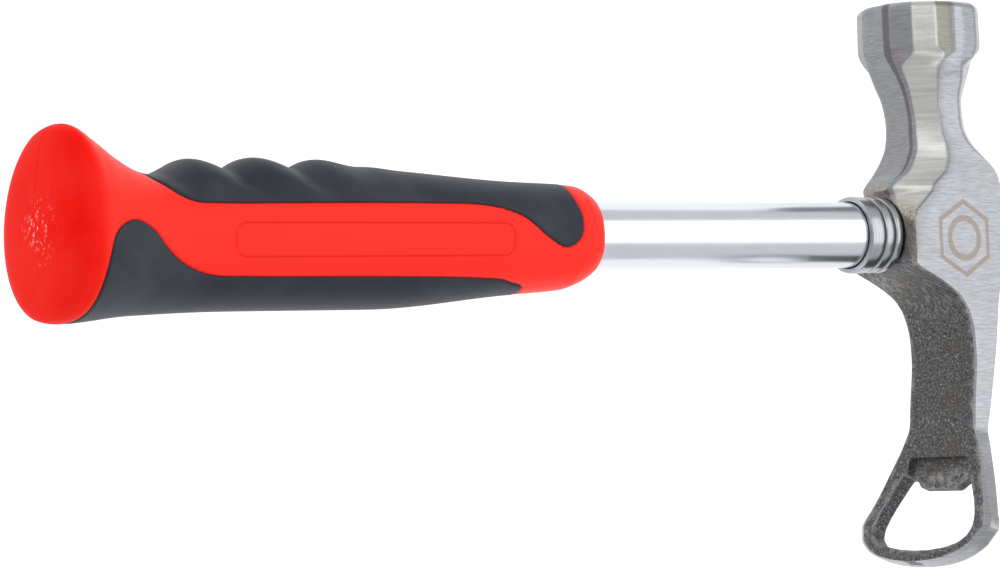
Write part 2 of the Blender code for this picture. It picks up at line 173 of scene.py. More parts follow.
def depth_inside(points, outline):
    """How far each (x, y) point is inside a closed outline, negative outside: the distance to the nearest
    of the outline's segments, signed by how often a line towards +x crosses them."""
    start, end = outline, np.roll(outline, -1, axis=0)
    along = end - start
    found = []
    for part in np.array_split(points, max(1, len(points) // 8000)):
        x, y = part[:, :1], part[:, 1:2]
        t = ((x - start[:, 0]) * along[:, 0] + (y - start[:, 1]) * along[:, 1]) / (along**2).sum(1)
        t = np.clip(t, 0, 1)
        away = np.hypot(x - start[:, 0] - t * along[:, 0], y - start[:, 1] - t * along[:, 1]).min(1)
        crosses = (start[:, 1] > y) != (end[:, 1] > y)
        rise = np.where(along[:, 1] == 0, 1e-9, along[:, 1])
        beyond = x < start[:, 0] + (y - start[:, 1]) / rise * along[:, 0]
        found.append(np.where((crosses & beyond).sum(1) % 2 == 1, away, -away))
    return np.concatenate(found)


def pushed_out(points, amount):
    """Grid points moved along the surface's own normal, the cross product of the grid's two directions."""
    down = np.gradient(points, axis=0)
    across = np.roll(points, -1, axis=1) - np.roll(points, 1, axis=1)
    normal = np.cross(across, down)
    normal /= np.linalg.norm(normal, axis=-1, keepdims=True) + 1e-12
    outward = np.sign((normal[..., 1:] * points[..., 1:]).sum(-1).mean()) or 1.0
    return points + outward * normal * amount[..., None]


def ring_faces(rows, columns, first=0):
    """Quads between neighbours of a grid whose rows are closed rings, numbered row by row."""
    i, j = np.arange(rows - 1)[:, None], np.arange(columns)[None, :]
    k = (j + 1) % columns
    corners = (i * columns + j, i * columns + k, (i + 1) * columns + k, (i + 1) * columns + j)
    return (np.stack(corners, axis=-1).reshape(-1, 4) + first).tolist()


def tip_faces(ring_start, columns, tip):
    """Triangles from the tip point to each edge of one ring."""
    j = np.arange(columns)
    tips = np.full(columns, tip)
    return np.stack([tips, ring_start + j, ring_start + (j + 1) % columns], axis=-1).tolist()


def closed_faces(rows, columns):
    """Quads along a run of rings with a fan over each end, whose two tips are numbered after the rings."""
    tip = rows * columns
    fans = tip_faces(0, columns, tip) + tip_faces(tip - columns, columns, tip + 1)
    return ring_faces(rows, columns) + fans


def hoop_faces(rows, columns):
    """Quads along a run of rings whose last ring is joined to its first."""
    return [[corner % (rows * columns) for corner in face] for face in ring_faces(rows + 1, columns)]


def add_piece(name, points, faces, finish, crease=40.0, **values):
    """A finished piece from points in millimetres: its mesh placed in the world, faces outwards, its own
    values kept as attributes, and the object itself at the origin, riding on the one body."""
    mesh = bpy.data.meshes.new(name)
    mesh.from_pydata((np.asarray(points) * 0.001 + AXIS).tolist(), [], faces)
    for label, value in values.items():
        mesh.attributes.new(label, "FLOAT", "POINT").data.foreach_set("value", np.asarray(value, np.float32))
    bm = bmesh.new()
    bm.from_mesh(mesh)
    bmesh.ops.recalc_face_normals(bm, faces=bm.faces)
    bm.to_mesh(mesh)
    bm.free()
    mesh.shade_smooth()
    mesh.set_sharp_from_angle(angle=math.radians(crease))
    mesh.materials.append(finish)
    obj = bpy.data.objects.new(name, mesh)
    bpy.context.scene.collection.objects.link(obj)
    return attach(obj, "root")


def put(tree, kind, values=None, **settings):
    """Adds one shader node; each of its inputs takes a number, a colour or another node's output."""
    made = tree.nodes.new(kind)
    for setting, value in settings.items():
        setattr(made, setting, value)
    for label, value in (values or {}).items():
        if isinstance(value, bpy.types.NodeSocket):
            tree.links.new(value, made.inputs[label])
        else:
            made.inputs[label].default_value = value
    return made


def new_finish(name, **values):
    """A material with one Principled shader; values are set on the shader's own sockets."""
    made = bpy.data.materials.new(name)
    made.use_nodes = True
    shader = made.node_tree.nodes["Principled BSDF"]
    for label, value in values.items():
        shader.inputs[label.replace("_", " ")].default_value = value
    return made, made.node_tree, shader


def new_effect(name, inputs, outputs):
    """An effect shared by several finishes: an empty node group with named, typed sockets."""
    tree = bpy.data.node_groups.new(name, "ShaderNodeTree")
    for label, kind, value in inputs:
        tree.interface.new_socket(label, in_out="INPUT", socket_type=kind).default_value = value
    for label, kind in outputs:
        tree.interface.new_socket(label, in_out="OUTPUT", socket_type=kind)
    return tree, put(tree, "NodeGroupInput"), put(tree, "NodeGroupOutput")


def math_node(tree, operation, first, second=0.0, third=0.0, clamp=False):
    """One arithmetic step on values, returning its output."""
    return put(
        tree, "ShaderNodeMath", {0: first, 1: second, 2: third}, operation=operation, use_clamp=clamp
    ).outputs[0]


def mixed(tree, share, first, second):
    """The colour between two colours at the given share."""
    made = put(
        tree, "ShaderNodeMix", {0: share, 6: first, 7: second}, data_type="RGBA", clamp_factor=True
    )
    return made.outputs[2]


def noise(tree, place, scale, detail, roughness=0.5):
    """A noise texture at a place: this many blobs to a metre, each broken up by the finer ones."""
    inputs = {"Vector": place, "Scale": scale, "Detail": detail, "Roughness": roughness}
    return put(tree, "ShaderNodeTexNoise", inputs).outputs[0]


def ramp(tree, value, start, end, low=0.0, high=1.0):
    """From low to high in a straight line while the value goes from start to end, and held beyond them."""
    return put(tree, "ShaderNodeMapRange", {0: value, 1: start, 2: end, 3: low, 4: high}).outputs[0]


def object_place(tree):
    """The place on the piece itself, in metres from its own origin."""
    return put(tree, "ShaderNodeTexCoord").outputs["Object"]


def bump(tree, height, distance, strength=1.0):
    """The normal of a surface raised by its height times this distance in metres."""
    inputs = {"Height": height, "Distance": distance, "Strength": strength}
    return put(tree, "ShaderNodeBump", inputs).outputs[0]


def wire(tree, shader, **outputs):
    """Leads each output into the shader's socket of that name."""
    for label, output in outputs.items():
        tree.links.new(output, shader.inputs[label.replace("_", " ")])


def kept_value(tree, label):
    """The value that a mesh keeps in its attribute of this name."""
    return put(tree, "ShaderNodeAttribute", attribute_name=label).outputs["Fac"]


# Moulding grain: a fine even noise that raises the surface a little and gives a mask of its cloudiness
moulding_grain, grain_in, grain_out = new_effect(
    "moulding_grain",
    [("Grains per metre", "NodeSocketFloat", 2500.0), ("Height", "NodeSocketFloat", 0.00002),
     ("Clouds per metre", "NodeSocketFloat", 60.0)],
    [("Cloud", "NodeSocketFloat"), ("Grain", "NodeSocketFloat"), ("Normal", "NodeSocketVector")],
)
grain_place = object_place(moulding_grain)
fine = noise(moulding_grain, grain_place, grain_in.outputs["Grains per metre"], 3.0, 0.6)
cloud = noise(moulding_grain, grain_place, grain_in.outputs["Clouds per metre"], 4.0, 0.55)
raised = bump(moulding_grain, fine, grain_in.outputs["Height"])
wire(moulding_grain, grain_out, Cloud=cloud, Grain=fine, Normal=raised)


def moulded_grain(tree, grains, height, clouds=60.0):
    """The moulding grain in one finish, with its own number of grains and of clouds to a metre."""
    inputs = {"Grains per metre": grains, "Height": height, "Clouds per metre": clouds}
    return put(tree, "ShaderNodeGroup", inputs, node_tree=moulding_grain).outputs


red_plastic, tree, shader = new_finish("red_polypropylene", IOR=1.16)
grain = moulded_grain(tree, 3200.0, 0.000012)
end_share = kept_value(tree, "end")
# The end face is painted a deeper red as shade, since it faces away from the light; the same mask marks its
# cloudier, less glossy skin
colour = mixed(tree, math_node(tree, "MULTIPLY", end_share, 0.9), RED, RED_SHADED_END)
cloudy = ramp(tree, grain["Cloud"], 0.35, 0.7)
pale = math_node(tree, "MULTIPLY", math_node(tree, "MULTIPLY", cloudy, end_share), 0.10)
colour = mixed(tree, pale, colour, RED_WORN)
scuffed = ramp(tree, noise(tree, object_place(tree), 620.0, 3.0, 0.7), 0.56, 0.62)
colour = mixed(tree, math_node(tree, "MULTIPLY", scuffed, kept_value(tree, "gate")), colour, SCUFF)
# Painted shade darkens the seams round the pads and the panel's groove
colour = mixed(tree, math_node(tree, "MULTIPLY", kept_value(tree, "seam"), 0.8), colour, SEAM_SHADE_RED)
wire(
    tree, shader, Base_Color=colour, Normal=grain["Normal"],
    Roughness=math_node(tree, "MULTIPLY_ADD", grain["Cloud"], 0.18, 0.30),
    Specular_IOR_Level=math_node(tree, "MULTIPLY_ADD", end_share, -0.43, 0.5),
)

# Stations along x, close together at the pommel and where the pads end
fine_x = np.linspace(GRIP_END, -137.2, 600)
stations = np.concatenate([
    np.interp(np.linspace(1.0, 25.4, 34), GRIP_TOP(fine_x), fine_x),
    np.arange(-137.0, -94.5, 0.36), np.arange(-94.5, -20.0, 1.0), np.arange(-19.6, 7.0, 0.36),
    np.linspace(7.2, GRIP_FRONT, 20),
])
# Places round the side: level lines through the rail and its panel, then the crown and the belly
levels = np.concatenate([
    np.arange(9.4, 8.0, -0.3), np.arange(8.0, 6.2, -0.2), np.arange(6.2, 2.7, -0.6),
    np.arange(2.7, 1.5, -0.15), np.arange(1.4, -5.5, -0.75), np.arange(-5.6, -6.7, -0.15),
    np.arange(-6.9, -10.0, -0.7), np.arange(-10.1, -12.4, -0.2), np.arange(-12.5, -13.6, -0.35),
])
x = stations[:, None]
side = angle_at(x, levels[None, :])
crown_share = np.concatenate([[0.0, 0.004, 0.010, 0.020, 0.04], np.linspace(0.07, 0.985, 24)])
belly_share = 1 - crown_share[::-1]
crown = side[:, :1] * crown_share
belly = side[:, -1:] + (math.pi - side[:, -1:]) * belly_share
half_round = np.concatenate([crown, side, belly], axis=1)
angle = np.concatenate([half_round, 2 * math.pi - half_round[:, -2:0:-1]], axis=1)
shell = grip_points(x, angle)
flat = shell.reshape(-1, 3)

PANEL_FROM, PANEL_TO, PANEL_TOP, PANEL_FOOT, PANEL_CORNER = -96.4, -16.9, 2.1, -6.1, 3.0
pad_depth = np.maximum(
    depth_inside(flat[:, :2], UPPER_PAD), depth_inside(flat[:, :2], LOWER_PAD)
).reshape(shell.shape[:2])
middle = np.array([(PANEL_FROM + PANEL_TO) / 2, (PANEL_TOP + PANEL_FOOT) / 2])
reach = np.array([(PANEL_TO - PANEL_FROM) / 2, (PANEL_TOP - PANEL_FOOT) / 2]) - PANEL_CORNER
over = np.abs(shell[..., :2] - middle) - reach
panel_depth = PANEL_CORNER - np.hypot(*np.maximum(over, 0).transpose(2, 0, 1)) - np.minimum(over.max(-1), 0)

# How deep each point is sunk: the seam round a pad and its pocket, the panel with its groove, the parting
# line that stands out along the pommel, and the gate mark, a pit with a raised ring
SEAM_DEPTH, SEAM_WIDTH, POCKET_DEPTH = 0.34, 0.42, 2.2
POCKET_STARTS, POCKET_FULL = 0.4, 1.9
PANEL_DEPTH, GROOVE_WIDTH = 0.16, 0.22
PARTING_HEIGHT, PARTING_WIDTH = 0.09, 0.22
GATE = np.array([-141.8, 1.2, 0.0])
GATE_PIT, GATE_RING, GATE_RING_RADIUS = 0.25, 0.14, 1.1
sunk = SEAM_DEPTH * np.where(pad_depth < 0, np.exp(-(pad_depth / SEAM_WIDTH) ** 2), 1.0)
sunk += POCKET_DEPTH * ease(pad_depth, POCKET_STARTS, POCKET_FULL)
groove = np.exp(-(panel_depth / GROOVE_WIDTH) ** 2)
sunk += PANEL_DEPTH * (ease(panel_depth, -0.2, 0.2) + groove)
on_pommel = ease(-shell[..., 0], 118.0, 126.0)
sunk -= PARTING_HEIGHT * np.exp(-(shell[..., 2] / PARTING_WIDTH) ** 2) * on_pommel
from_gate = np.linalg.norm(shell - GATE, axis=-1)
sunk += GATE_PIT * np.exp(-(from_gate / 0.6) ** 2)
sunk -= GATE_RING * np.exp(-((from_gate - GATE_RING_RADIUS) / 0.35) ** 2)
shell = pushed_out(shell, -sunk)
shell[..., 0] = np.maximum(shell[..., 0], GRIP_END)

# The bore for the tube, from the front ring's mouth to a little past the tube's end
columns, turn = shell.shape[1], angle[-1]
bore_x = np.array([GRIP_FRONT, GRIP_FRONT, 0.0, -66.0, TUBE_START - 1.8])
bore_radius = np.array([BORE_MOUTH] + [BORE_RADIUS] * 4)[:, None]
bore = np.stack([bore_x[:, None] + 0 * turn, bore_radius * np.cos(turn), bore_radius * np.sin(turn)], axis=-1)
rings = np.concatenate([shell, bore])
end_height = (shell[0, 0, 1] + shell[0, columns // 2, 1]) / 2
tips = np.array([[GRIP_END, end_height, 0.0], [bore_x[-1], 0.0, 0.0]])
inner_rows = np.zeros((len(bore_x), columns))
# This mask marks the pommel's end face, which is painted a deeper red as shade
end_mask = ease(-rings[..., 0], 131.5, 136.0)
# The seam mask is painted shade: the crevice round each pad, the pocket under it and the panel's groove
seam_shade_mask = np.exp(-(pad_depth / 0.24) ** 2) + ease(pad_depth, 0.0, 0.2) + 0.6 * groove
seam_shade_mask = np.concatenate([seam_shade_mask, inner_rows]).clip(0, 1)
SCUFFS_FROM_GATE, SCUFFS_REACH = np.array([0, -0.6, 2.4]), 5.5
from_scuffs = np.linalg.norm(rings - GATE - SCUFFS_FROM_GATE, axis=-1)
gate_mask = np.exp(-(from_scuffs / SCUFFS_REACH) ** 2)
points = np.concatenate([rings.reshape(-1, 3), tips])
grip_core = add_piece(
    "red_grip_shell", points, closed_faces(len(rings), columns), red_plastic,
    end=np.append(end_mask.ravel(), [1, 0]), seam=np.append(seam_shade_mask.ravel(), [0, 0]),
    gate=np.append(gate_mask.ravel(), [0, 0]),
)
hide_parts("grip_core")

# ---------------------------------------------------------------- grip pads
# Two pads of dark grey soft rubber, moulded into the shell's pockets. The upper one carries the finger
# bumps and ends in a hook at the front, and the lower one climbs the flank of the pommel.

PAD_THICKNESS, PAD_GAP = 2.15, 0.04
PAD_PROUD, EDGE_DROP, EDGE_ROUND = 0.10, 0.40, 0.7
RUBBER = (0.0170, 0.0210, 0.0300, 1.0)
RUBBER_PALE = (0.075, 0.082, 0.10, 1.0)
# Painted shade for the crevice where a pad meets the shell
SEAM_SHADE_GREY = (0.012, 0.008, 0.009, 1.0)

grey_rubber, tree, shader = new_finish("grey_rubber", IOR=1.30)
grain = moulded_grain(tree, 4200.0, 0.00003, 45.0)
dusty = ramp(tree, grain["Cloud"], 0.42, 0.72, high=0.35)
speck = ramp(tree, grain["Grain"], 0.55, 0.75, high=0.25)
colour = mixed(tree, math_node(tree, "ADD", dusty, speck), RUBBER, RUBBER_PALE)
# Painted shade darkens the pad beside its seam
colour = mixed(tree, math_node(tree, "MULTIPLY", kept_value(tree, "seam"), 0.8), colour, SEAM_SHADE_GREY)
wire(
    tree, shader, Base_Color=colour, Normal=grain["Normal"],
    Roughness=math_node(tree, "MULTIPLY_ADD", grain["Cloud"], 0.2, 0.42),
)


def pad_surface(corners, upper, rows=260, across=30):
    """The outer points of one pad. A row runs from the pad's edge on one side, over its centre line, to
    the edge on the other: angle = share * edge angle, x = centre x + share^2 * (edge x - centre x).
    The rows start evenly along the edge, and their points are closest together beside it."""
    half_at = GRIP_TOP if upper else GRIP_BOTTOM
    dense = closed_line(corners, 8)
    lies = (dense[:, 1] if upper else -dense[:, 1]) < half_at(dense[:, 0]) * 0.9999
    first, length = int(np.argmax(lies & ~np.roll(lies, 1))), int(lies.sum())
    dense = np.roll(dense, -first, axis=0)
    run, before, after = dense[:length], dense[-1], dense[length]

    def meets(inside, outside):
        """Where the edge reaches the centre line, between its last point and the one beyond."""
        share = np.linspace(0, 1, 400)[:, None]
        way = inside + (outside - inside) * share
        gap = np.abs(np.abs(way[:, 1]) - half_at(way[:, 0]))
        return way[gap.argmin()]

    edge = np.concatenate([[meets(run[0], before)], run, [meets(run[-1], after)]])
    if edge[0, 0] > edge[-1, 0]:
        edge = edge[::-1]
    half = np.where(edge[:, 1] > 0, GRIP_TOP(edge[:, 0]), GRIP_BOTTOM(edge[:, 0]))
    share = np.clip(np.abs(edge[:, 1]) / half, 0, 1) ** (SQUARENESS(edge[:, 0]) / 2)
    turned = np.arccos(np.sign(edge[:, 1]) * share)
    turned = turned if upper else math.pi - turned
    turned[[0, -1]] = 0.0
    sides = grip_points(edge[:, 0], turned if upper else math.pi - turned)
    run_length = np.concatenate([[0], np.cumsum(np.linalg.norm(np.diff(sides, axis=0), axis=1))])
    at = np.linspace(0, run_length[-1], rows)
    edge_x, edge_turn = np.interp(at, run_length, edge[:, 0]), np.interp(at, run_length, turned)
    drift = np.abs(np.diff(edge[:, 0])) + 0.22 * np.abs(np.diff(edge[:, 1]))
    drift = np.concatenate([[0], np.cumsum(drift)])
    centre_x = edge_x[0] + (edge_x[-1] - edge_x[0]) * np.interp(at, run_length, drift / drift[-1])
    usual_radius = 16.5
    width = np.maximum(edge_turn * usual_radius, np.abs(edge_x - centre_x)) + 1e-6
    rim = np.array([0.0, 0.10, 0.22, 0.38, 0.58, 0.85, 1.2])
    most = 0.10 + 0.12 * np.arange(len(rim)) / len(rim)
    close = 1 - np.minimum(rim / width[:, None], most)
    inner = close[:, -1:] * np.linspace(1, 0, across)[None, 1:]
    share = np.concatenate([close, inner], axis=1)
    share = np.concatenate([share, -share[:, -2::-1]], axis=1)
    x = centre_x[:, None] + share**2 * (edge_x - centre_x)[:, None]
    turn = share * edge_turn[:, None]
    return grip_points(x, turn if upper else math.pi - turn)[1:-1], edge_x[[0, -1]], half_at


def add_pad(name, corners, outline, upper):
    """A closed pad: its outer skin and an inner skin a wall below, joined round the edge. The outer one
    stands proud by PAD_PROUD - EDGE_DROP * (1 - depth / EDGE_ROUND)^2.2, which rounds it down into the
    seam, and the inner one follows the pocket in the shell."""
    outer, ends, half_at = pad_surface(corners, upper)
    rows, columns = outer.shape[:2]
    depth = np.maximum(depth_inside(outer.reshape(-1, 3)[:, :2], outline), 0).reshape(rows, columns)
    depth[:, [0, -1]] = 0.0
    proud = PAD_PROUD - EDGE_DROP * (1 - np.clip(depth / EDGE_ROUND, 0, 1)) ** 2.2
    under = PAD_GAP - SEAM_DEPTH - PAD_THICKNESS * ease(depth, POCKET_STARTS, POCKET_FULL)
    down, across = np.gradient(outer, axis=0), np.gradient(outer, axis=1)
    normal = np.cross(across, down)
    normal /= np.linalg.norm(normal, axis=-1, keepdims=True) + 1e-12
    normal *= np.sign((normal[..., 1:] * outer[..., 1:]).sum(-1).mean())
    top, foot = outer + normal * proud[..., None], outer + normal * under[..., None]
    foot[:, [0, -1]] = top[:, [0, -1]] - 0.02 * normal[:, [0, -1]]
    loop = np.concatenate([top, foot[:, ::-1]], axis=1)
    sign = 1.0 if upper else -1.0
    tips = np.array([[end, sign * (half_at(end) - SEAM_DEPTH), 0.0] for end in ends])
    # The seam mask is painted shade in the crevice round the pad
    seam = np.exp(-(depth / 0.22) ** 2)
    seam = np.append(np.concatenate([seam, seam[:, ::-1]], axis=1).ravel(), [1, 1])
    points = np.concatenate([loop.reshape(-1, 3), tips])
    return add_piece(name, points, closed_faces(*loop.shape[:2]), grey_rubber, 60.0, seam=seam)


upper_pad = add_pad("upper_rubber_pad", UPPER_CORNERS, UPPER_PAD, True)
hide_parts("upper_grip_pad")
lower_pad = add_pad("lower_rubber_pad", LOWER_CORNERS, LOWER_PAD, False)
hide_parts("lower_grip_pad")

# ---------------------------------------------------------------- handle tube
# A drawn steel tube, nickel and chrome plated and polished, that runs from inside the pommel to the top
# of the head. It is round along the handle and pressed to an oval where the head's eye grips it.

TUBE_RADIUS, TUBE_WALL, TUBE_END = 9.0, 1.2, 147.0
EYE_HALF_Y, EYE_HALF_Z, EYE_ROUND_TO, EYE_OVAL_FROM = 10.3, 7.5, 118.5, 128.0
EDGE_BREAK = 0.25
CHROME_DULL, CHROME = (0.61, 0.63, 0.665, 1.0), (0.69, 0.71, 0.74, 1.0)

chrome, tree, shader = new_finish("bright_chrome", Metallic=1.0)
place = object_place(tree)
smear = noise(tree, place, 90.0, 5.0, 0.65)
rippled = bump(tree, noise(tree, place, 55.0, 2.0), 0.00004, 0.6)
wire(
    tree, shader, Base_Color=mixed(tree, smear, CHROME_DULL, CHROME), Normal=rippled,
    Roughness=ramp(tree, smear, 0.40, 0.75, 0.20, 0.28),
)


def tube_rings(x, inset, columns=128):
    """The tube's outline at each x: a circle that eases into the eye's oval, less the inset."""
    share = ease(x, EYE_ROUND_TO, EYE_OVAL_FROM)
    half_y = (TUBE_RADIUS + share * (EYE_HALF_Y - TUBE_RADIUS) - inset)[:, None]
    half_z = (TUBE_RADIUS + share * (EYE_HALF_Z - TUBE_RADIUS) - inset)[:, None]
    turn = np.linspace(0, 2 * math.pi, columns, endpoint=False)[None, :]
    return np.stack([x[:, None] + 0 * turn, half_y * np.cos(turn), half_z * np.sin(turn)], axis=-1)


# Out along the tube and back inside it, with both ends' edges broken
along = np.concatenate([
    [TUBE_START], np.linspace(TUBE_START + 0.3, 100, 60), np.linspace(104, TUBE_END, 44)
])
edge_cut = np.zeros(len(along))
edge_cut[[0, -1]] = EDGE_BREAK
wall = np.concatenate([tube_rings(along, edge_cut), tube_rings(along, TUBE_WALL - edge_cut)[::-1]])
tube = add_piece("chromed_tube", wall.reshape(-1, 3), hoop_faces(*wall.shape[:2]), chrome, 30.0)
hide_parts("handle_tube")

# ---------------------------------------------------------------- ribbed collar
# A turned steel ring pressed over the tube against the head: one broad crowned band with a rounded lip,
# two narrow ribs, and the grooves between them. The lathe's lines run round it.

TURNED_DARK, TURNED_PALE = (0.19, 0.20, 0.22, 1.0), (0.55, 0.56, 0.59, 1.0)
# Painted shade for the grooves between the bands
GROOVE_SHADE = (0.06, 0.055, 0.05, 1.0)
COLLAR_COLUMNS = 160

# Grinding lines: a noise drawn out sideways, so that it changes quickly across the lines only
grinding, lines_in, lines_out = new_effect(
    "grinding_lines",
    [("Lines per metre", "NodeSocketVector", (200.0, 3000.0, 200.0)), ("Height", "NodeSocketFloat", 0.00002)],
    [("Line", "NodeSocketFloat"), ("Broad", "NodeSocketFloat"), ("Normal", "NodeSocketVector")],
)
stretched = put(
    grinding, "ShaderNodeVectorMath", {0: object_place(grinding), 1: lines_in.outputs["Lines per metre"]},
    operation="MULTIPLY",
).outputs[0]
broader = put(
    grinding, "ShaderNodeVectorMath", {0: stretched, 1: (0.3, 0.3, 0.3)}, operation="MULTIPLY"
).outputs[0]
hair = noise(grinding, stretched, 1.0, 3.0, 0.6)
ridged = bump(grinding, hair, lines_in.outputs["Height"])
wire(grinding, lines_out, Line=hair, Broad=noise(grinding, broader, 1.0, 2.0), Normal=ridged)


def ground_lines(tree, lines_per_metre, height):
    """The grinding lines in one finish, with their own number to a metre along x, y and z."""
    inputs = {"Lines per metre": lines_per_metre, "Height": height}
    return put(tree, "ShaderNodeGroup", inputs, node_tree=grinding).outputs


turned_steel, tree, shader = new_finish("turned_steel", Metallic=1.0)
lines = ground_lines(tree, (5000.0, 120.0, 120.0), 0.000015)
colour = mixed(tree, lines["Line"], TURNED_DARK, TURNED_PALE)
# Painted shade darkens the grooves
wire(
    tree, shader, Base_Color=mixed(tree, kept_value(tree, "groove"), colour, GROOVE_SHADE),
    Roughness=math_node(tree, "MULTIPLY_ADD", lines["Broad"], 0.25, 0.12), Normal=lines["Normal"],
)

# The ring's outline as (x, radius): its bore's edge, the broad band, a groove, a rib, a groove, a rib
profile = np.array([
    (102.0, 9.3), (102.0, 9.9), (102.08, 10.2), (102.3, 10.42), (102.7, 10.5), (103.4, 10.53), (104.4, 10.55),
    (105.4, 10.52), (106.2, 10.46), (106.5, 10.34), (106.66, 10.1), (106.78, 9.86), (106.95, 9.80),
    (107.12, 9.86), (107.26, 10.12), (107.42, 10.3), (107.8, 10.42), (108.7, 10.45), (109.6, 10.42),
    (109.98, 10.3), (110.14, 10.1), (110.28, 9.86), (110.45, 9.80), (110.62, 9.86), (110.76, 10.1),
    (110.95, 10.28), (111.3, 10.42), (112.2, 10.44), (112.8, 10.36), (113.08, 10.16), (113.2, 9.85),
    (113.2, 9.3),
])
turn = np.linspace(0, 2 * math.pi, COLLAR_COLUMNS, endpoint=False)
rings = np.stack([
    profile[:, :1] + 0 * turn, profile[:, 1:] * np.cos(turn), profile[:, 1:] * np.sin(turn)
], axis=-1)
# Painted shade in the grooves, deepest at their bottoms
in_groove = np.clip((10.28 - profile[:, 1]) / 0.4, 0, 1) * (profile[:, 0] > 102.3)
collar = add_piece(
    "turned_collar", rings.reshape(-1, 3), hoop_faces(len(profile), COLLAR_COLUMNS), turned_steel, 35.0,
    groove=np.repeat(in_groove, COLLAR_COLUMNS),
)
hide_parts("ribbed_collar")

# ---------------------------------------------------------------- forged head
# One steel forging: a round poll ground in facets, a waisted neck with a belt-polished strip down each
# corner, flat ground cheeks, and the blade that ends in the opener loop, left dark from the forge inside.

POLL_AXIS, FACE_Y, LOOP_TIP_Y = 130.5, 64.0, -90.0
GROUND_DARK, GROUND_PALE = (0.13, 0.134, 0.148, 1.0), (0.50, 0.51, 0.535, 1.0)
# Painted shade for the facets in front of the strip, which face away from the light
FRONT_SHADE_DARK, FRONT_SHADE_PALE = (0.095, 0.098, 0.108, 1.0), (0.37, 0.38, 0.40, 1.0)
YELLOWED_DARK, YELLOWED_PALE = (0.10, 0.099, 0.085, 1.0), (0.32, 0.315, 0.275, 1.0)
POLISHED_DARK, POLISHED_PALE = (0.36, 0.36, 0.335, 1.0), (0.68, 0.68, 0.645, 1.0)
BAND_DARK, BAND_PALE = (0.16, 0.145, 0.12, 1.0), (0.42, 0.39, 0.34, 1.0)
SCALE_DARK, SCALE_PALE = (0.028, 0.028, 0.031, 1.0), (0.165, 0.163, 0.168, 1.0)
# The second colour serves painted glints in the scale as well as its rubbed bright places
SCALE_OLIVE, GLINT_AND_RUBBED = (0.085, 0.072, 0.045, 1.0), (0.40, 0.395, 0.39, 1.0)
# The first colour is painted shade for the dark lines beside the strip
LINE_SHADE, STAIN, ETCHED = (0.07, 0.065, 0.07, 1.0), (0.30, 0.26, 0.19, 1.0), (0.23, 0.195, 0.16, 1.0)

# By station y: the side towards the handle and the side away from it (x from the poll's axis), half the
# width (z) and how much narrower it is on the far side, and how steeply the loop leans
HEAD_NEAR = smooth_curve(
    (64.0, -15.3), (52.0, -15.4), (47.0, -14.0), (42.6, -11.9), (37.0, -9.5), (31.0, -8.5), (25.0, -8.9),
    (21.0, -10.5), (17.0, -13.4), (12.4, -18.2), (10.6, -17.5), (6.0, -17.0), (-8.0, -16.9),
    (-9.5, -15.4), (-11.5, -11.4), (-14.5, -5.9), (-18.0, -1.2), (-22.0, 1.4), (-28.0, 3.0), (-34.0, 3.3),
    (-47.0, 2.0), (-58.0, 0.9), (-66.0, -1.5), (-77.0, -5.7), (LOOP_TIP_Y, -12.8),
)
HEAD_FAR = smooth_curve(
    (64.0, 14.8), (53.0, 14.9), (47.0, 13.7), (42.0, 11.7), (37.0, 10.1), (30.4, 9.6), (24.8, 11.0),
    (20.4, 14.1), (17.0, 16.6), (13.0, 17.78), (-8.0, 17.78), (-20.0, 13.8), (-33.0, 11.8), (-47.0, 8.8),
    (-58.0, 5.8), (-66.0, 3.4), (-77.0, -1.1), (LOOP_TIP_Y, -8.0),
)
HEAD_WIDTH = smooth_curve(
    (64.0, 14.9), (52.0, 15.0), (47.0, 14.0), (42.0, 12.5), (35.0, 11.1), (29.0, 11.2), (22.0, 12.5),
    (16.0, 13.8), (11.0, 14.1), (-20.0, 14.0), (-33.0, 13.8), (-53.0, 13.9), (-58.0, 16.0), (-65.6, 19.6),
    (-76.0, 25.0), (-78.5, 26.5), (-80.2, 27.0), (-82.2, 26.4), (-84.4, 24.6), (-86.2, 22.0),
    (-87.7, 18.8), (-88.9, 14.6), (-89.6, 10.2), (LOOP_TIP_Y, 5.0),
)
HEAD_TAPER = smooth_curve((49.0, 0.0), (24.0, 0.0), (14.0, 1.7), (-8.0, 1.7), (-22.0, 0.2), (-30.0, 0.0))
LEAN = smooth_curve((-40.0, 0.0), (-56.0, 0.2), (-66.0, 0.38), (-77.0, 0.42), (LOOP_TIP_Y, 0.42))
# How far the corners are cut off along x and along z, nearer the handle and on the far side
NEAR_CUT_X = smooth_curve(
    (64.0, 15.6), (50.5, 15.6), (48.0, 12.0), (45.0, 8.8), (42.0, 7.7), (35.0, 5.7), (28.0, 6.3), (24.0, 7.6),
    (20.3, 9.1), (14.7, 10.2), (12.4, 9.6), (9.6, 6.4), (5.8, 2.1), (2.5, 0.9), (-6.0, 0.9), (-9.5, 0.5),
    (-62.0, 0.5), (-72.0, 0.8), (-80.0, 1.1), (LOOP_TIP_Y, 1.1),
)
NEAR_CUT_Z = smooth_curve(
    (64.0, 9.4), (50.5, 9.4), (46.0, 8.0), (42.0, 6.6), (35.0, 5.7), (28.0, 5.8), (22.0, 6.1), (17.0, 7.0),
    (12.4, 9.1), (8.0, 7.6), (2.5, 4.5), (-6.0, 2.6), (-9.5, 0.5), (-62.0, 0.5),
    (-72.0, 1.2), (-80.0, 2.0), (LOOP_TIP_Y, 1.6),
)
FAR_CUT_X = smooth_curve(
    (64.0, 11.2), (49.0, 11.2), (42.0, 7.7), (35.0, 6.0), (25.0, 5.0), (15.0, 1.5), (-60.0, 0.9)
)
FAR_CUT_Z = smooth_curve(
    (64.0, 8.7), (49.0, 8.7), (42.0, 7.2), (35.0, 5.7), (25.0, 4.0), (15.0, 1.5), (-60.0, 0.9)
)
# On the lower side the poll's corner is less worn, and its cut stays within these
LOWER_CUT_X, LOWER_CUT_Z = 13.2, 9.0
MOST_CUT = 0.85
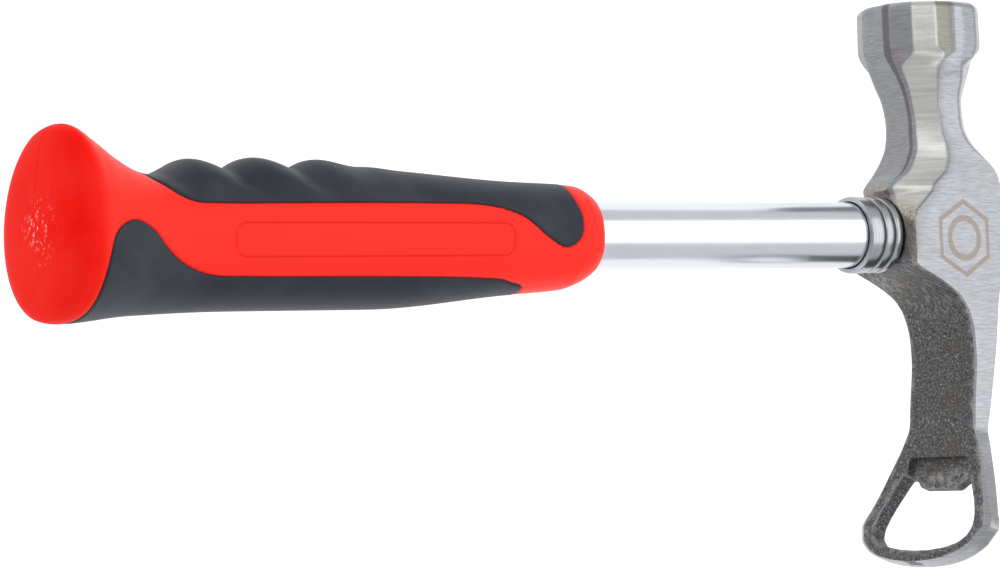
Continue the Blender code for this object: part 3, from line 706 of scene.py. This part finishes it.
# The dark bevel beside the strip, then how the two lines between a corner's facets lie and stand out
BEVEL = smooth_curve(
    (64.0, 2.3), (50.0, 2.3), (44.0, 1.5), (36.0, 1.3), (22.0, 1.3), (14.0, 0.7), (8.0, 0.35), (-90.0, 0.3)
)
FIRST_SPLIT = smooth_curve((64.0, 0.34), (49.5, 0.34), (45.5, 0.13), (-90.0, 0.13))
SECOND_SPLIT = smooth_curve((64.0, 0.71), (51.5, 0.71), (48.0, 0.93), (-90.0, 0.93))
FIRST_BULGE = smooth_curve((64.0, 3.0), (49.5, 3.0), (45.5, 0.45), (12.0, 0.35), (-8.0, 0.05), (-90.0, 0.05))
SECOND_BULGE = smooth_curve((64.0, 2.7), (51.5, 2.7), (48.0, 0.35), (12.0, 0.3), (-8.0, 0.05), (-90.0, 0.05))


def facet_points(start, end, y, away):
    """The line from start to end, with two points between that stand out from it by the bulge."""
    along = end - start
    length = np.linalg.norm(along, axis=1)
    out = np.stack([along[:, 1], -along[:, 0]], axis=1) / length[:, None]
    out *= np.sign(out @ np.array(away))[:, None]
    middle = [
        start + along * split(y)[:, None] + out * np.minimum(bulge(y), 0.19 * length)[:, None]
        for split, bulge in ((FIRST_SPLIT, FIRST_BULGE), (SECOND_SPLIT, SECOND_BULGE))
    ]
    return [start, *middle, end]


def head_side(y, cut_x, cut_z):
    """Half of the head's section at each y as nine points (x, z): where the bevel starts, four along the
    corner nearer the handle, cut off by cut_x and cut_z, then four along the far corner."""
    near, far, width = HEAD_NEAR(y), HEAD_FAR(y), HEAD_WIDTH(y)
    far_width = width - HEAD_TAPER(y)
    start_z = width - np.minimum(cut_z, MOST_CUT * width)
    bevel = np.minimum(BEVEL(y), 0.6 * start_z)
    inner = facet_points(
        np.stack([near + 0.18 * bevel, start_z], 1), np.stack([near + cut_x, width], 1), y, (-1.0, 1.0)
    )
    far_cut = np.minimum(FAR_CUT_Z(y), MOST_CUT * far_width)
    outer = facet_points(
        np.stack([far - FAR_CUT_X(y), far_width], 1), np.stack([far, far_width - far_cut], 1), y, (1.0, 1.0)
    )
    return np.stack([np.stack([near, start_z - bevel], 1), *inner, *outer], axis=1)


def head_outline(y):
    """The whole section: the worn upper side, then the lower side, whose poll corners are fuller."""
    upper = head_side(y, NEAR_CUT_X(y), NEAR_CUT_Z(y))
    lower = head_side(y, np.minimum(NEAR_CUT_X(y), LOWER_CUT_X), np.minimum(NEAR_CUT_Z(y), LOWER_CUT_Z))
    return np.concatenate([upper, lower[:, ::-1] * [1, -1]], axis=1)


def rounded_rings(corners, reach, between):
    """Each corner of a ring rounded by a parabola that starts and ends up to the reach from it along its
    two sides; every side between two roundings is then divided evenly. With it comes each point's place
    among the facets: whole numbers at the corners, halves in the middle of the sides."""
    before, after = np.roll(corners, 1, axis=1), np.roll(corners, -1, axis=1)
    back, on = before - corners, after - corners
    back_length, on_length = np.linalg.norm(back, axis=2), np.linalg.norm(on, axis=2)
    cut = np.minimum(reach, 0.45 * np.minimum(back_length, on_length))[..., None]
    enter, leave = corners + back / back_length[..., None] * cut, corners + on / on_length[..., None] * cut
    t = np.linspace(0, 1, 6)
    bend = [(1 - s) ** 2 * enter + 2 * s * (1 - s) * corners + s**2 * leave for s in t]
    ring, facet = [], []
    for k, steps in enumerate(between):
        ring += [bent[:, k] for bent in bend]
        following = enter[:, (k + 1) % corners.shape[1]]
        share = np.linspace(0, 1, steps + 2)[1:-1]
        ring += [leave[:, k] + (following - leave[:, k]) * s for s in share]
        facet += [*(k - 0.25 + 0.5 * t), *(k + 0.25 + 0.5 * share)]
    return np.stack(ring, axis=1), np.array(facet)


def head_place(section, y):
    """Section points (x, z) at station y placed in space, the far side dropped where the loop leans."""
    x, z = section[..., 0], section[..., 1]
    return np.stack([x + POLL_AXIS, y[:, None] - LEAN(y)[:, None] * (x - HEAD_NEAR(y)[:, None]), z], axis=-1)


# Stations along y, close together where facets turn and evenly round the loop's tip
EDGE_ROUNDING, EDGE_RINGS, FACE_RADIUS = 2.2, 9, 15.2
tip_y = np.linspace(-77.0, LOOP_TIP_Y, 2000)
tip_y = tip_y[tip_y < -80.3]
to_tip = np.interp(-np.arange(25.5, 2.5, -0.7), -HEAD_WIDTH(tip_y), tip_y)
round_the_edge = np.linspace(0, math.pi / 2, EDGE_RINGS)
y = np.concatenate([
    FACE_Y - EDGE_ROUNDING * (1 - np.cos(round_the_edge)), np.arange(61.2, 53.0, -0.8),
    np.arange(52.6, 40.0, -0.36), np.arange(39.6, 14.0, -0.5), np.arange(13.7, -20.0, -0.36),
    np.arange(-20.4, -54.0, -0.7), np.arange(-54.5, -81.0, -0.45), to_tip[1:], [LOOP_TIP_Y],
])

# How much each corner is rounded, and how many points lie on the side after it, round the whole section
reach = np.array([0.5, 0.5, 0.7, 0.7, 0.6, 0.8, 0.8, 0.8, 0.8])
between = [1, 5, 5, 5, 12, 4, 4, 4, 12, 4, 4, 4, 12, 5, 5, 5, 1, 18]
section, facet = rounded_rings(head_outline(y), np.concatenate([reach, reach[::-1]]), between)
facet = np.minimum(facet, len(between) - 1 - facet)

# The striking face's edge is a quarter round, so the first rings are smaller
inset = np.zeros(len(y))
inset[:EDGE_RINGS] = EDGE_ROUNDING * (1 - np.sin(round_the_edge))
smaller = (1 - inset / FACE_RADIUS)[:, None]
core_x = (HEAD_NEAR(y) + HEAD_FAR(y))[:, None] / 2
section = np.stack([core_x + (section[..., 0] - core_x) * smaller, section[..., 1] * smaller], axis=-1)
rings = head_place(section, y)
shrink = np.array([0.12, 0.35, 0.6, 0.8, 0.93])[:, None, None]
face_middle = np.array([POLL_AXIS - 0.2, FACE_Y, 0.0])
face_rings = face_middle + (rings[0] - face_middle) * shrink
rings = np.concatenate([face_rings, rings])
tips = np.array([face_middle, rings[-1].mean(0)])
head_faces = closed_faces(*rings.shape[:2])
head_points = np.concatenate([rings.reshape(-1, 3), tips])
face_facets = np.full(len(shrink) * rings.shape[1], 4.5)
facets = np.concatenate([face_facets, np.tile(facet, len(section)), [4.5, -0.5]])


def cutting_tool(name, rings):
    """A closed solid through the rings of points, to be taken out of the head; its ends are fans."""
    rings = np.asarray(rings, float)
    mesh = bpy.data.meshes.new(name)
    ends = np.array([rings[0].mean(0), rings[-1].mean(0)])
    points = np.concatenate([rings.reshape(-1, 3), ends]) * 0.001 + AXIS
    mesh.from_pydata(points.tolist(), [], closed_faces(*rings.shape[:2]))
    bm = bmesh.new()
    bm.from_mesh(mesh)
    bmesh.ops.recalc_face_normals(bm, faces=bm.faces)
    bm.to_mesh(mesh)
    bm.free()
    obj = bpy.data.objects.new(name, mesh)
    bpy.context.scene.collection.objects.link(obj)
    return obj


# The eye: the tube's own oval with a little clearance, opened out at the top by a chamfer
eye_x = np.concatenate([[104.0], np.linspace(118.5, 128.0, 14), [146.9, 148.2, 149.5]])
eye_room = -np.concatenate([[0.25], np.full(14, 0.2), [0.2, 1.0, 2.4]])
eye_tool = cutting_tool("eye_tool", tube_rings(eye_x, eye_room, 96))

# The step that thins the tongue on its side towards the handle
TONGUE_STEP_Y, TONGUE_EDGE_Y, TONGUE_HALF_WIDTH, TONGUE_RECESS = -62.1, -69.7, 11.8, 1.5
step_y = np.array([TONGUE_STEP_Y + 0.35, TONGUE_STEP_Y, TONGUE_STEP_Y - 0.5, -64.5, -67.0, -70.0, -74.0])
step_floor = np.stack([
    POLL_AXIS + HEAD_NEAR(step_y) + TONGUE_RECESS * np.array([-0.3, 0.55, 1, 1, 1, 1, 1]), step_y
], axis=1)
step_side = np.concatenate([step_floor, (step_floor - [7.0, 0.0])[::-1]])
step_z = np.array([-1, -0.97, 0.97, 1]) * TONGUE_HALF_WIDTH
step_shift = np.array([-0.8, 0, 0, -0.8])
step_tool = cutting_tool("step_tool", [
    np.column_stack([step_side[:, 0] + shift, step_side[:, 1], np.full(len(step_side), z)])
    for z, shift in zip(step_z, step_shift)
])

# The opener's hole, square to the leaning loop, with a tongue at its top and its rims rounded over
tongue = [
    (-67.4, -8.9), (-68.9, -7.9), (TONGUE_EDGE_Y, -6.9), (TONGUE_EDGE_Y, 7.6), (-68.5, 9.3), (-67.2, 11.2),
]
hole_side = [
    (-66.9, 13.9), (-68.8, 15.3), (-70.6, 16.4), (-74.0, 18.4), (-77.4, 20.0), (-80.4, 20.7), (-82.8, 19.9),
    (-84.8, 16.9), (-86.1, 12.0), (-86.8, 6.0),
]
far_side = [(down, -z) for down, z in reversed(hole_side)]
hole_corners = np.array(tongue + hole_side + [(-87.0, 0.0)] + far_side)


def divided(corners, step):
    """A closed line of straight sides, divided into pieces of about one step."""
    line = []
    for first, second in zip(corners, np.roll(corners, -1, axis=0)):
        pieces = max(1, int(np.linalg.norm(second - first) / step))
        line += [first + (second - first) * i / pieces for i in range(pieces)]
    return np.array(line)


def smoothed(line, rounds):
    """Each point of a closed line moved half way to the mean of its two neighbours, round after round."""
    for _ in range(rounds):
        line = 0.5 * line + 0.25 * (np.roll(line, 1, axis=0) + np.roll(line, -1, axis=0))
    return line


hole_line = smoothed(divided(hole_corners, 0.5), 2)
tangent = np.roll(hole_line, -1, axis=0) - np.roll(hole_line, 1, axis=0)
outward = np.column_stack([tangent[:, 1], -tangent[:, 0]])
outward /= np.linalg.norm(outward, axis=1, keepdims=True)
outward *= np.sign(((hole_line - hole_line.mean(0)) * outward).sum(1).mean())
LOOP_LEAN = float(LEAN(-77.0))
lean_from, far_x = HEAD_NEAR(hole_line[:, 0]), HEAD_FAR(hole_line[:, 0])
in_tongue = ease(hole_line[:, 0], -72.5, -70.5) * ease(-np.abs(hole_line[:, 1]), -12.5, -11.5)
near_x = lean_from + in_tongue * TONGUE_RECESS
# The tool's rings: how far beyond the face, how much wider than the hole, and 0 at the near face or 1 at
# the far one
rim_steps = [
    (-4.0, 1.8, 0), (-0.6, 0.75, 0), (0.0, 0.42, 0), (0.25, 0.17, 0), (0.6, 0.03, 0), (1.0, 0.0, 0),
    (-1.0, 0.0, 1), (-0.6, 0.03, 1), (-0.25, 0.17, 1), (0.0, 0.42, 1), (0.6, 0.75, 1), (4.0, 1.8, 1),
]
hole_rings = []
for step, grow, from_far in rim_steps:
    grown = hole_line + outward * grow
    x_at = (far_x if from_far else near_x) + step
    leaning_y = grown[:, 0] - LOOP_LEAN * (x_at - lean_from)
    hole_rings.append(np.column_stack([POLL_AXIS + x_at, leaning_y, grown[:, 1]]))
hole_tool = cutting_tool("hole_tool", hole_rings)

head_steel, tree, shader = new_finish("forged_head_steel", Metallic=1.0)
head = add_piece("opener_hammer_head", head_points, head_faces, head_steel, 30.0, facet=facets)
tools = (eye_tool, step_tool, hole_tool)
for tool in tools:
    cut = head.modifiers.new(tool.name, "BOOLEAN")
    cut.operation, cut.solver, cut.object = "DIFFERENCE", "EXACT", tool
bpy.context.view_layer.update()
cut_mesh = bpy.data.meshes.new_from_object(head.evaluated_get(bpy.context.evaluated_depsgraph_get()))
head.modifiers.clear()
head.data = cut_mesh
for tool in tools:
    bpy.data.objects.remove(tool, do_unlink=True)
cut_mesh.shade_smooth()
cut_mesh.set_sharp_from_angle(angle=math.radians(50))
cut_mesh.materials.clear()
cut_mesh.materials.append(head_steel)

# What each point of the head's skin is, from its facet and its place
count = len(cut_mesh.vertices)
spots, facet = np.empty(count * 3, np.float32), np.empty(count, np.float32)
cut_mesh.vertices.foreach_get("co", spots)
cut_mesh.attributes["facet"].data.foreach_get("value", facet)
px, py, pz = ((spots.reshape(-1, 3) - AXIS) * 1000).T
px = px - POLL_AXIS
station = py.copy()
for _ in range(4):
    station = py + LEAN(station) * (px - HEAD_NEAR(station))
near, width, side_z = HEAD_NEAR(station), HEAD_WIDTH(station), np.abs(pz)
start_z = width - np.minimum(NEAR_CUT_Z(station), MOST_CUT * width)
eye_away = np.hypot(py, pz)
hole_gap = -depth_inside(np.column_stack([station, pz]), hole_line)
hole_gap = np.where(station < -60.0, hole_gap, 20.0)
on_claw = ease(-station, 5.5, 10.5)
in_recess = (np.abs(station + 66.5) < 5.0) & (side_z < TONGUE_HALF_WIDTH + 0.4) & (px - near < 3.0)

# Forge scale: the claw's side towards the handle, the hole's wall and the step at the tongue
forged = np.where(facet < 0.9, ease(start_z - side_z, -0.4, 0.5), 0.0) * on_claw
forged = np.where((px - near > 0.25) & (hole_gap < 1.3), 1.0, forged)
forged = np.where(in_recess, 1.0, forged)

# The speckled band below the strip and round the eye on the side towards the handle
band = ease(facet, 0.6, 1.0) * ease(-facet, -4.3, -3.9)
band *= ease(-station, -10.5, -5.0) * ease(station, -13.0, -9.0)
by_eye = ease(-eye_away, -14.6, -13.4) * (px < -14.0) * (facet < 1.2) * ease(station, -8.0, -4.0)
band = np.maximum(band, by_eye)

# The polished strip, the yellower facet beside it on the poll, and painted shade on the facets in front of
# it, which face away from the light
strip = ease(facet, 1.9, 2.1) * ease(-facet, -3.15, -2.9) * ease(station, 0.0, 5.0)
warm = ease(facet, 3.0, 3.2) * ease(-facet, -3.9, -3.7) * ease(station, 46.0, 50.0)
second_facet = ease(facet, 0.9, 1.1) * (facet < 2)
front = (ease(-facet, -2.0, -1.85) - 0.45 * second_facet) * ease(station, 6.0, 14.0)

# Painted shade in dark lines: along the bevel, where it also stands for the darker unground skin, along the
# far edge of the strip, and in the dip of the cheek beside it
line = ease(facet, -0.1, 0.15) * ease(-facet, -1.15, -0.9) * ease(station, 13.0, 17.0) * (pz > -1)
far_edge = ease(facet, 3.6, 3.8) * ease(-facet, -4.35, -4.15) * ease(station, -6.0, 4.0)
past_strip = px - near - NEAR_CUT_X(station)
dish_shade = np.exp(-(past_strip / 1.7) ** 2) * (facet > 3.8) * (facet < 5) * (past_strip > 0)
dish_shade *= ease(station, -9.0, -3.0) * ease(-station, -50.0, -46.0)
line = np.maximum.reduce([line, 0.7 * far_edge, 0.42 * dish_shade])

# Scale rubbed bright along the claw's edges, round the hole and at the claw's root, the rays that run out
# from the eye, and the striking face
at_edge, at_hole = np.exp(-((start_z - side_z) / 0.8) ** 2), np.exp(-(hole_gap / 0.9) ** 2)
at_root = np.exp(-((station + 13.0) / 3.0) ** 2 - ((pz + 8.0) / 6.0) ** 2)
worn = np.maximum.reduce([at_edge, at_hole, at_root])
worn *= on_claw * (px - near < 1.0 + TONGUE_RECESS * in_recess)
root = ease(-eye_away, -27.0, -13.0) * on_claw * np.minimum(2.0 * forged, 1.0)
striking = ease(py, 63.0, 63.6)
for label, value in (
    ("forged", forged), ("band", band), ("strip", strip), ("line", line), ("front", front), ("warm", warm),
    ("worn", worn), ("root", root), ("striking", striking),
):
    cut_mesh.attributes.new(label, "FLOAT", "POINT").data.foreach_set("value", value.astype(np.float32))


def mixed_value(tree, share, first, second):
    """The value between two values at the given share."""
    return put(tree, "ShaderNodeMix", {0: share, 2: first, 3: second}, data_type="FLOAT").outputs[0]


def hypotenuse(tree, first, second):
    """The square root of the sum of two values' squares."""
    squares = [math_node(tree, "POWER", side, 2.0) for side in (first, second)]
    return math_node(tree, "SQRT", math_node(tree, "ADD", *squares))


# The head's finish: ground steel with lines across, a warm polished strip, and dark forge scale
place = object_place(tree)
lines = ground_lines(tree, (260.0, 3600.0, 260.0), 0.00003)
face_lines = ground_lines(tree, (900.0, 200.0, 3200.0), 0.00003)
line_share = mixed_value(tree, kept_value(tree, "striking"), lines["Line"], face_lines["Line"])
ground = mixed(tree, line_share, GROUND_DARK, GROUND_PALE)
front_shade = mixed(tree, line_share, FRONT_SHADE_DARK, FRONT_SHADE_PALE)
yellowed = mixed(tree, lines["Line"], YELLOWED_DARK, YELLOWED_PALE)
polished = mixed(tree, lines["Broad"], POLISHED_DARK, POLISHED_PALE)
# Painted shade on the facets in front of the strip
colour = mixed(tree, kept_value(tree, "front"), ground, front_shade)
colour = mixed(tree, kept_value(tree, "warm"), colour, yellowed)
colour = mixed(tree, kept_value(tree, "strip"), colour, polished)
# Painted shade along the bevel, the strip's far edge and the cheek's dip
colour = mixed(tree, math_node(tree, "MULTIPLY", kept_value(tree, "line"), 0.7), colour, LINE_SHADE)
stain = noise(tree, place, 70.0, 4.0, 0.6)
colour = mixed(tree, ramp(tree, stain, 0.55, 0.72, high=0.25), colour, STAIN)

# Rays in the scale: a noise on the angle round the eye and the distance from it
split = put(tree, "ShaderNodeSeparateXYZ", {0: place})
from_y = math_node(tree, "SUBTRACT", split.outputs[1], float(AXIS[1]))
from_z = math_node(tree, "SUBTRACT", split.outputs[2], float(AXIS[2]))
spokes = put(tree, "ShaderNodeCombineXYZ", {
    0: math_node(tree, "MULTIPLY", math_node(tree, "ARCTAN2", from_z, from_y), 24.0),
    1: math_node(tree, "MULTIPLY", hypotenuse(tree, from_y, from_z), 420.0),
}).outputs[0]
bright = ramp(tree, noise(tree, spokes, 1.0, 5.0, 0.7), 0.50, 0.60, high=0.9)
bright = math_node(tree, "MULTIPLY", bright, kept_value(tree, "root"))

# Scale: mottled grains with olive patches, painted glints where the grains are brightest, and bright where it
# is rubbed
scale_grain = noise(tree, place, 1500.0, 6.0, 0.7)
pits = noise(tree, place, 420.0, 4.0, 0.6)
mottle = ramp(tree, scale_grain, 0.36, 0.64)
glint = ramp(tree, scale_grain, 0.585, 0.65, high=0.9)
rubbed = math_node(tree, "MULTIPLY", ramp(tree, pits, 0.42, 0.62, high=0.7), kept_value(tree, "worn"))
# Painted glints together with the rubbed places and the rays
glint_and_rubbed_share = math_node(tree, "MAXIMUM", math_node(tree, "MAXIMUM", glint, bright), rubbed)
scale = mixed(tree, mottle, SCALE_DARK, SCALE_PALE)
scale = mixed(tree, ramp(tree, stain, 0.5, 0.68, high=0.55), scale, SCALE_OLIVE)
scale = mixed(tree, glint_and_rubbed_share, scale, GLINT_AND_RUBBED)
ragged = math_node(tree, "ADD", kept_value(tree, "forged"), math_node(tree, "MULTIPLY_ADD", pits, 0.8, -0.4))
forged_share = ramp(tree, ragged, 0.4, 0.6)
colour = mixed(tree, kept_value(tree, "band"), colour, mixed(tree, mottle, BAND_DARK, BAND_PALE))
colour = mixed(tree, forged_share, colour, scale)

# A generic etched mark on the near cheek: a hexagon nut outline round a ring
MARK_AT = (0.1325 + AXIS[0], -0.0018 + AXIS[1])
NUT_REACH, NUT_LINE, RING_RADIUS, RING_LINE, LINE_FADE = 0.0088, 0.0006, 0.0055, 0.0008, 0.00012
CHEEK_FROM, CHEEK_TO = 0.0105, 0.0115
mark_x = math_node(tree, "SUBTRACT", split.outputs[0], MARK_AT[0])
mark_y = math_node(tree, "SUBTRACT", split.outputs[1], MARK_AT[1])
lean_x = math_node(tree, "MULTIPLY", mark_x, math.cos(math.pi / 3))
lean_y = math_node(tree, "MULTIPLY", mark_y, math.sin(math.pi / 3))
flats = [
    math_node(tree, "ABSOLUTE", mark_x),
    math_node(tree, "ABSOLUTE", math_node(tree, "ADD", lean_x, lean_y)),
    math_node(tree, "ABSOLUTE", math_node(tree, "SUBTRACT", lean_x, lean_y)),
]
nut = math_node(tree, "MAXIMUM", math_node(tree, "MAXIMUM", flats[0], flats[1]), flats[2])


def line_mask(distance, middle, half_width):
    """1 where the distance is within half a width of the middle, with a soft edge."""
    off = math_node(tree, "ABSOLUTE", math_node(tree, "SUBTRACT", distance, middle))
    return ramp(tree, off, half_width, half_width + LINE_FADE, 1.0, 0.0)


ring = line_mask(hypotenuse(tree, mark_x, mark_y), RING_RADIUS, RING_LINE)
etched = math_node(tree, "MAXIMUM", line_mask(nut, NUT_REACH, NUT_LINE), ring)
near_cheek = ramp(tree, split.outputs[2], AXIS[2] + CHEEK_FROM, AXIS[2] + CHEEK_TO, high=0.8)
colour = mixed(tree, math_node(tree, "MULTIPLY", etched, near_cheek), colour, ETCHED)

rough = math_node(tree, "MULTIPLY_ADD", lines["Broad"], 0.12, 0.28)
rough = math_node(tree, "MULTIPLY_ADD", forged_share, 0.16, rough)
rough = math_node(tree, "MULTIPLY_ADD", glint_and_rubbed_share, -0.1, rough)
ground_height = math_node(tree, "MULTIPLY", lines["Line"], 0.12)
scale_height = math_node(tree, "ADD", math_node(tree, "MULTIPLY", pits, 1.6), scale_grain)
height = mixed_value(tree, forged_share, ground_height, scale_height)
height = math_node(tree, "MULTIPLY_ADD", bright, 0.8, height)
wire(tree, shader, Base_Color=colour, Roughness=rough, Normal=bump(tree, height, 0.00030))
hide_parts("forged_head")

# ---------------------------------------------------------------- what the tube holds
# A steel plug fills the tube's mouth in the eye, a hardwood dowel stiffens it under the collar, and a
# plastic cap closes its end inside the pommel. These keep their CAD shapes.

PLUG_DARK, PLUG_PALE = (0.30, 0.30, 0.31, 1.0), (0.55, 0.55, 0.56, 1.0)
WOOD_DARK, WOOD_PALE = (0.55, 0.37, 0.18, 1.0), (0.72, 0.54, 0.31, 1.0)
CAP_BLACK, CAP_GREY = (0.015, 0.015, 0.015, 1.0), (0.05, 0.05, 0.05, 1.0)

plug_steel, tree, shader = new_finish("plug_steel", Metallic=1.0)
lines = ground_lines(tree, (300.0, 3000.0, 300.0), 0.00001)
wire(
    tree, shader, Base_Color=mixed(tree, lines["Line"], PLUG_DARK, PLUG_PALE),
    Roughness=math_node(tree, "MULTIPLY_ADD", lines["Broad"], 0.3, 0.2),
)

dowel_wood, tree, shader = new_finish("ash_dowel", Roughness=0.6)
ring_inputs = {"Vector": object_place(tree), "Scale": 160.0, "Distortion": 4.0, "Detail": 3.0}
year_rings = put(tree, "ShaderNodeTexWave", ring_inputs, bands_direction="Y")
wire(tree, shader, Base_Color=mixed(tree, year_rings.outputs[1], WOOD_DARK, WOOD_PALE))

black_plastic, tree, shader = new_finish("black_plastic", Roughness=0.5)
grain = moulded_grain(tree, 3000.0, 0.00002)
wire(
    tree, shader, Base_Color=mixed(tree, grain["Cloud"], CAP_BLACK, CAP_GREY),
    Normal=grain["Normal"],
)

for node, finish in (("eye_plug", plug_steel), ("core_dowel", dowel_wood), ("tube_end_plug", black_plastic)):
    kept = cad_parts[node]
    for slot in kept.material_slots:
        slot.material = finish

# ---------------------------------------------------------------- floor, light and camera
# A white table top lit from above and a little from within, as under a light tent: the floor carries no
# hard shadow. One large soft lamp hangs over the head's far side, and a small one by the camera.

TABLE_REACH, TABLE_TOP = 3.0, -0.0005
corners = np.array([(-1, -1, 0), (1, -1, 0), (1, 1, 0), (-1, 1, 0)]) * TABLE_REACH + (0, 0, TABLE_TOP)
table_mesh = bpy.data.meshes.new("table_top")
table_mesh.from_pydata(corners.tolist(), [], [(0, 1, 2, 3)])
table = bpy.data.objects.new("table_top", table_mesh)
bpy.context.scene.collection.objects.link(table)
table_white, tree, shader = new_finish("table_white", Roughness=0.9)
shader.inputs["Base Color"].default_value = (0.40, 0.40, 0.40, 1.0)
shader.inputs["Emission Color"].default_value = (1.0, 1.0, 1.0, 1.0)
shader.inputs["Emission Strength"].default_value = 0.86
table_mesh.materials.append(table_white)

world = bpy.data.worlds.new("tent")
world.use_nodes = True
world.node_tree.nodes["Background"].inputs[0].default_value = (0.97, 0.98, 1.0, 1.0)
world.node_tree.nodes["Background"].inputs[1].default_value = 0.84
bpy.context.scene.world = world


def add_lamp(name, place, aim, size, power):
    """A square soft lamp at a place, turned towards its aim."""
    data = bpy.data.lights.new(name, "AREA")
    data.energy, data.size = power, size
    lamp = bpy.data.objects.new(name, data)
    lamp.location = place
    lamp.rotation_mode = "QUATERNION"
    lamp.rotation_quaternion = (Vector(aim) - Vector(place)).to_track_quat("-Z", "Y")
    bpy.context.scene.collection.objects.link(lamp)


add_lamp("lamp_overhead", (0.60, 0.12, 0.95), (0.03, 0.0, 0.02), 1.2, 5.2)
add_lamp("lamp_by_camera", (-0.45, 0.55, 0.80), (0.0, 0.0, 0.02), 0.6, 1.2)

camera = bpy.data.objects.new("camera", bpy.data.cameras.new("camera"))
bpy.context.scene.collection.objects.link(camera)
camera.data.lens, camera.data.sensor_width = 115.2, 36.0
camera.data.clip_start, camera.data.clip_end = 0.05, 20.0
right, up = Vector((0.8372, -0.0438, 0.5451)), Vector((0.0097, 0.9978, 0.0652))
forward = Vector((0.5468, 0.0493, -0.8358))
stance = Matrix((right, up, -forward)).transposed().to_4x4()
stance.translation = Vector((-0.4609, -0.0387, 0.7076))
camera.matrix_world = stance
bpy.context.scene.camera = camera
bpy.context.scene.view_settings.view_transform = "Standard"
